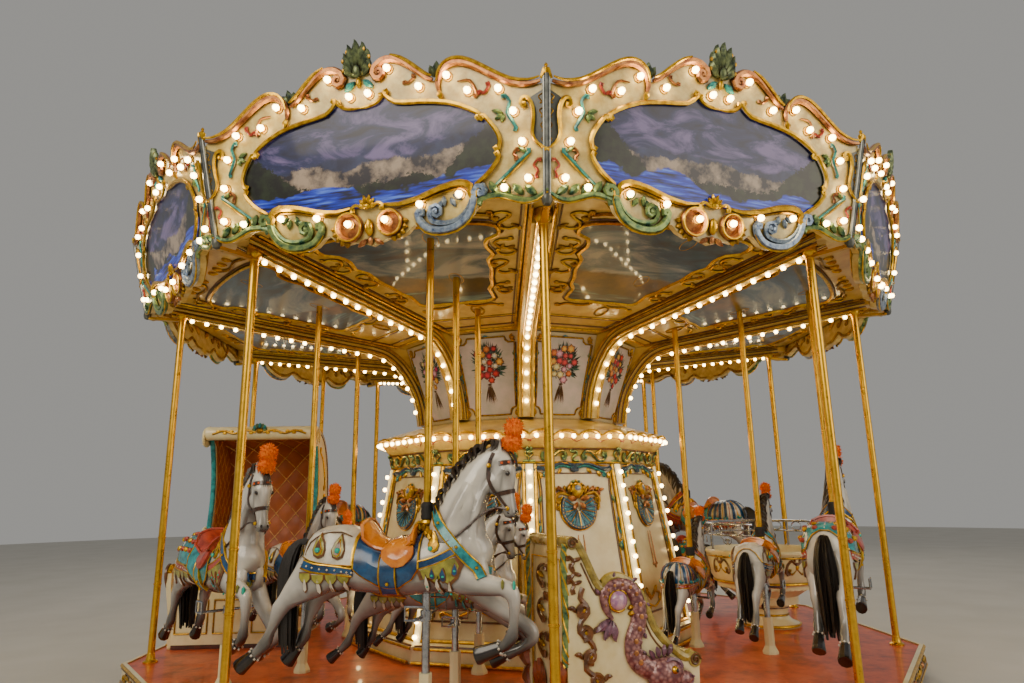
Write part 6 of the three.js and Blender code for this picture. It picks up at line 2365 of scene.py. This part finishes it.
def tub_motif():
    """A pair of brown scrolls round a gilt drop, bent to the tub's belly on the side at -y."""
    half = Shape()
    scroll(half, [(8, 40), (60, 80), (104, 40), (120, -30)], 14, "brown", (16, 24), (-1, -1), 4)
    scroll(half, [(12, -10), (56, -50), (90, -20)], 9, "old_gold", (0, 16), (1, 1), 4, steps=2)
    leaf(half, (10, 60), UP - 0.5, 60, 14, "brown", 2, 8, lobes=2)
    motif = Shape()
    motif.pair(half)
    motif.bead((0, 20, 4), 20, "gold", squash=(1, 1.6, 0.5))
    u, v, w = np.vstack(motif.points).T
    bend, radius = u / 590, 578 + w + 0.12 * v
    motif.points = [np.column_stack([radius * np.sin(bend), -radius * np.cos(bend), 610 + v])]
    return motif


def tub_cup(place):
    """The tub: a turned cup with gilt rings and painted motifs, and the wheel on its stem."""
    shape = Shape()
    shape.lathe(TUB_CUP, "cream", 48)
    for radius, z, thick, finish in ((302, 26, 13, "gold"), (192, 118, 11, "old_gold"),
                                     (538, 462, 10, "gold"), (598, 716, 9, "old_gold"),
                                     (200, 190, 7, "brown")):
        shape.bar(raised(circle(radius, 48), z), thick, finish, 6, closed=True)
    motif = tub_motif()
    for k in range(TUB_MOTIFS):
        shape.join(motif, np.array(Matrix.Rotation(2 * math.pi * k / TUB_MOTIFS, 3, "Z")))
    stem = [(40, 232), (30, 300), (26, 560), (34, 580), (60, 596), (60, 606), (2, 612)]
    shape.lathe(stem, "chrome")
    shape.bar(raised(circle(170, 28), 604), 15, "chrome", closed=True)
    for x, y in ((168, 0), (0, 168)):
        shape.bar([(-x, -y, 602), (x, y, 602)], 10, "chrome", 6)
    piece("tub_cup", shape, "rotor", place, ["round_tub"])


def tub_cushion(place):
    """The tub's ring of seat pad, drawn in at nine seams."""
    ring = [(326, 396), (332, 424), (352, 440), (420, 452), (480, 442), (502, 424), (504, 398)]
    points, faces = turned(ring, 72)
    turn = np.arctan2(points[:, 1], points[:, 0])
    points[:, 2] -= 13 * (np.abs(np.cos(turn * TUB_MOTIFS / 2)) < 0.12) * (points[:, 2] > 430)
    pad = Shape()
    pad.add((points, faces), "vinyl")
    made = piece("tub_cushion", pad, "rotor", place, crease=70)


def on_rail(points, turn=0.0):
    """Points (u, z) laid round the tub's railing, u counted along it from an angle."""
    u, z = np.transpose(points)
    a = turn + u / TUB_RAIL_R
    return np.column_stack([TUB_RAIL_R * np.cos(a), TUB_RAIL_R * np.sin(a), z])


def tub_rail(place):
    """The railing: two rails, posts, rings between the rails and curls below them, with a gap to step in
    by."""
    rail = Shape()
    reach = math.radians(150) * TUB_RAIL_R
    for z, thick in ((1045, 14), (935, 9)):
        rail.bar(on_rail([(u, z) for u in np.linspace(-reach, reach, 41)]), thick, "chrome", 10)
    for angle in np.linspace(-147, 147, 7):
        foot = on_rail([(0, 0)], math.radians(angle))[0]
        rail.lathe([(20, 776), (20, 784), (10, 792), (10, 1034)], "chrome", 10, foot)
    for angle in np.linspace(-135, 135, 12):
        ring = circle(1, 14) * (62, 46) + (0, 990)
        rail.bar(on_rail(ring, math.radians(angle)), 6, "chrome", 5, closed=True)
    for angle in np.linspace(-122.5, 122.5, 6):
        for hand in (1, -1):
            coil, _ = curl((10 * hand, 920), (hand, 0.1), 44, 1.3, -hand)
            rail.bar(on_rail(coil, math.radians(angle)), 6, "chrome", 5)
    piece("tub_rail_dress", rail, "rotor", place, ["tub_rail"])


def build_tub():
    """The round tub, its cushion and its railing."""
    place = stand(2, 2600, FLOOR_TOP)
    tub_cup(place)
    tub_cushion(place)
    tub_rail(place)


# Finishes of the nodes whose own shape shows

# The cornice, sweep frames and ceiling take the cream whose strong yellow is painted lamplight.
NODE_FINISHES = {
    "base_frame": "steel", "mast": "steel", "floor_edge": "cream", "lower_drum": "cream",
    "drum_cornice": "glow_cream", "upper_drum": "cream", "sweep_frame": "glow_cream", "ceiling": "glow_cream",
    "roof": "roof",
}


def dress_nodes():
    """Paint for the floor, the drum, the ceiling, the roof and the steelwork below."""
    for name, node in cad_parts.items():
        finish = "floor" if name.startswith("floor_segment") else NODE_FINISHES.get(name)
        if finish:
            node.data.materials.clear()
            node.data.materials.append(FINISH[finish])


build_boards()
build_rim_poles()
build_sweeps()
build_ceiling()
build_upper_drum()
build_lower_drum()
build_drum_corners()
build_cornice()
build_floor_edge()
build_roof_ribs()
build_horses()
build_chariot()
build_carriage()
build_tub()
dress_nodes()


# Studio

STUDIO_RADIUS = 30
STUDIO_GLOW = 0.55
LIGHTS_AIM = (0, 0, 2)
STUDIO_LIGHTS = (
    ("key", (-6, -11, 8), 900, 7), ("fill", (9, -8, 5), 420, 7), ("back", (2, 11, 9), 500, 8),
)


def pale_floor():
    """Smooth pale screed, faintly mottled."""
    material, tree = new_finish("pale_studio_floor")
    mottle = add(tree, "TexNoise", Vector=here(tree), Scale=1.2, Detail=3.0)
    tone = add(tree, "ValToRGB", stops=[(0.3, "B9B6AE"), (0.7, "C2BFB8")], Fac=mottle)
    surface(tree, Base_Color=tone, Roughness=0.7)
    return material


def build_studio():
    """A plain pale floor and soft light from large panels."""
    mesh = bpy.data.meshes.new("studio_floor")
    rim = raised(circle(STUDIO_RADIUS, 64), -0.001)
    mesh.from_pydata(rim.tolist(), [], [tuple(range(len(rim)))])
    mesh.materials.append(pale_floor())
    shown("studio_floor", mesh)
    world = bpy.data.worlds.new("studio")
    world.use_nodes = True
    back = world.node_tree.nodes["Background"]
    back.inputs["Color"].default_value = linear("C9C7C2")
    back.inputs["Strength"].default_value = STUDIO_GLOW
    bpy.context.scene.world = world
    for name, place, power, width in STUDIO_LIGHTS:
        data = bpy.data.lights.new(name, "AREA")
        data.energy = power
        data.size = width
        data.color = linear("FFF2DC")[:3]
        light = shown(name, data)
        light.location = place
        light.rotation_euler = (Vector(LIGHTS_AIM) - Vector(place)).to_track_quat("-Z", "Y").to_euler()


build_studio()
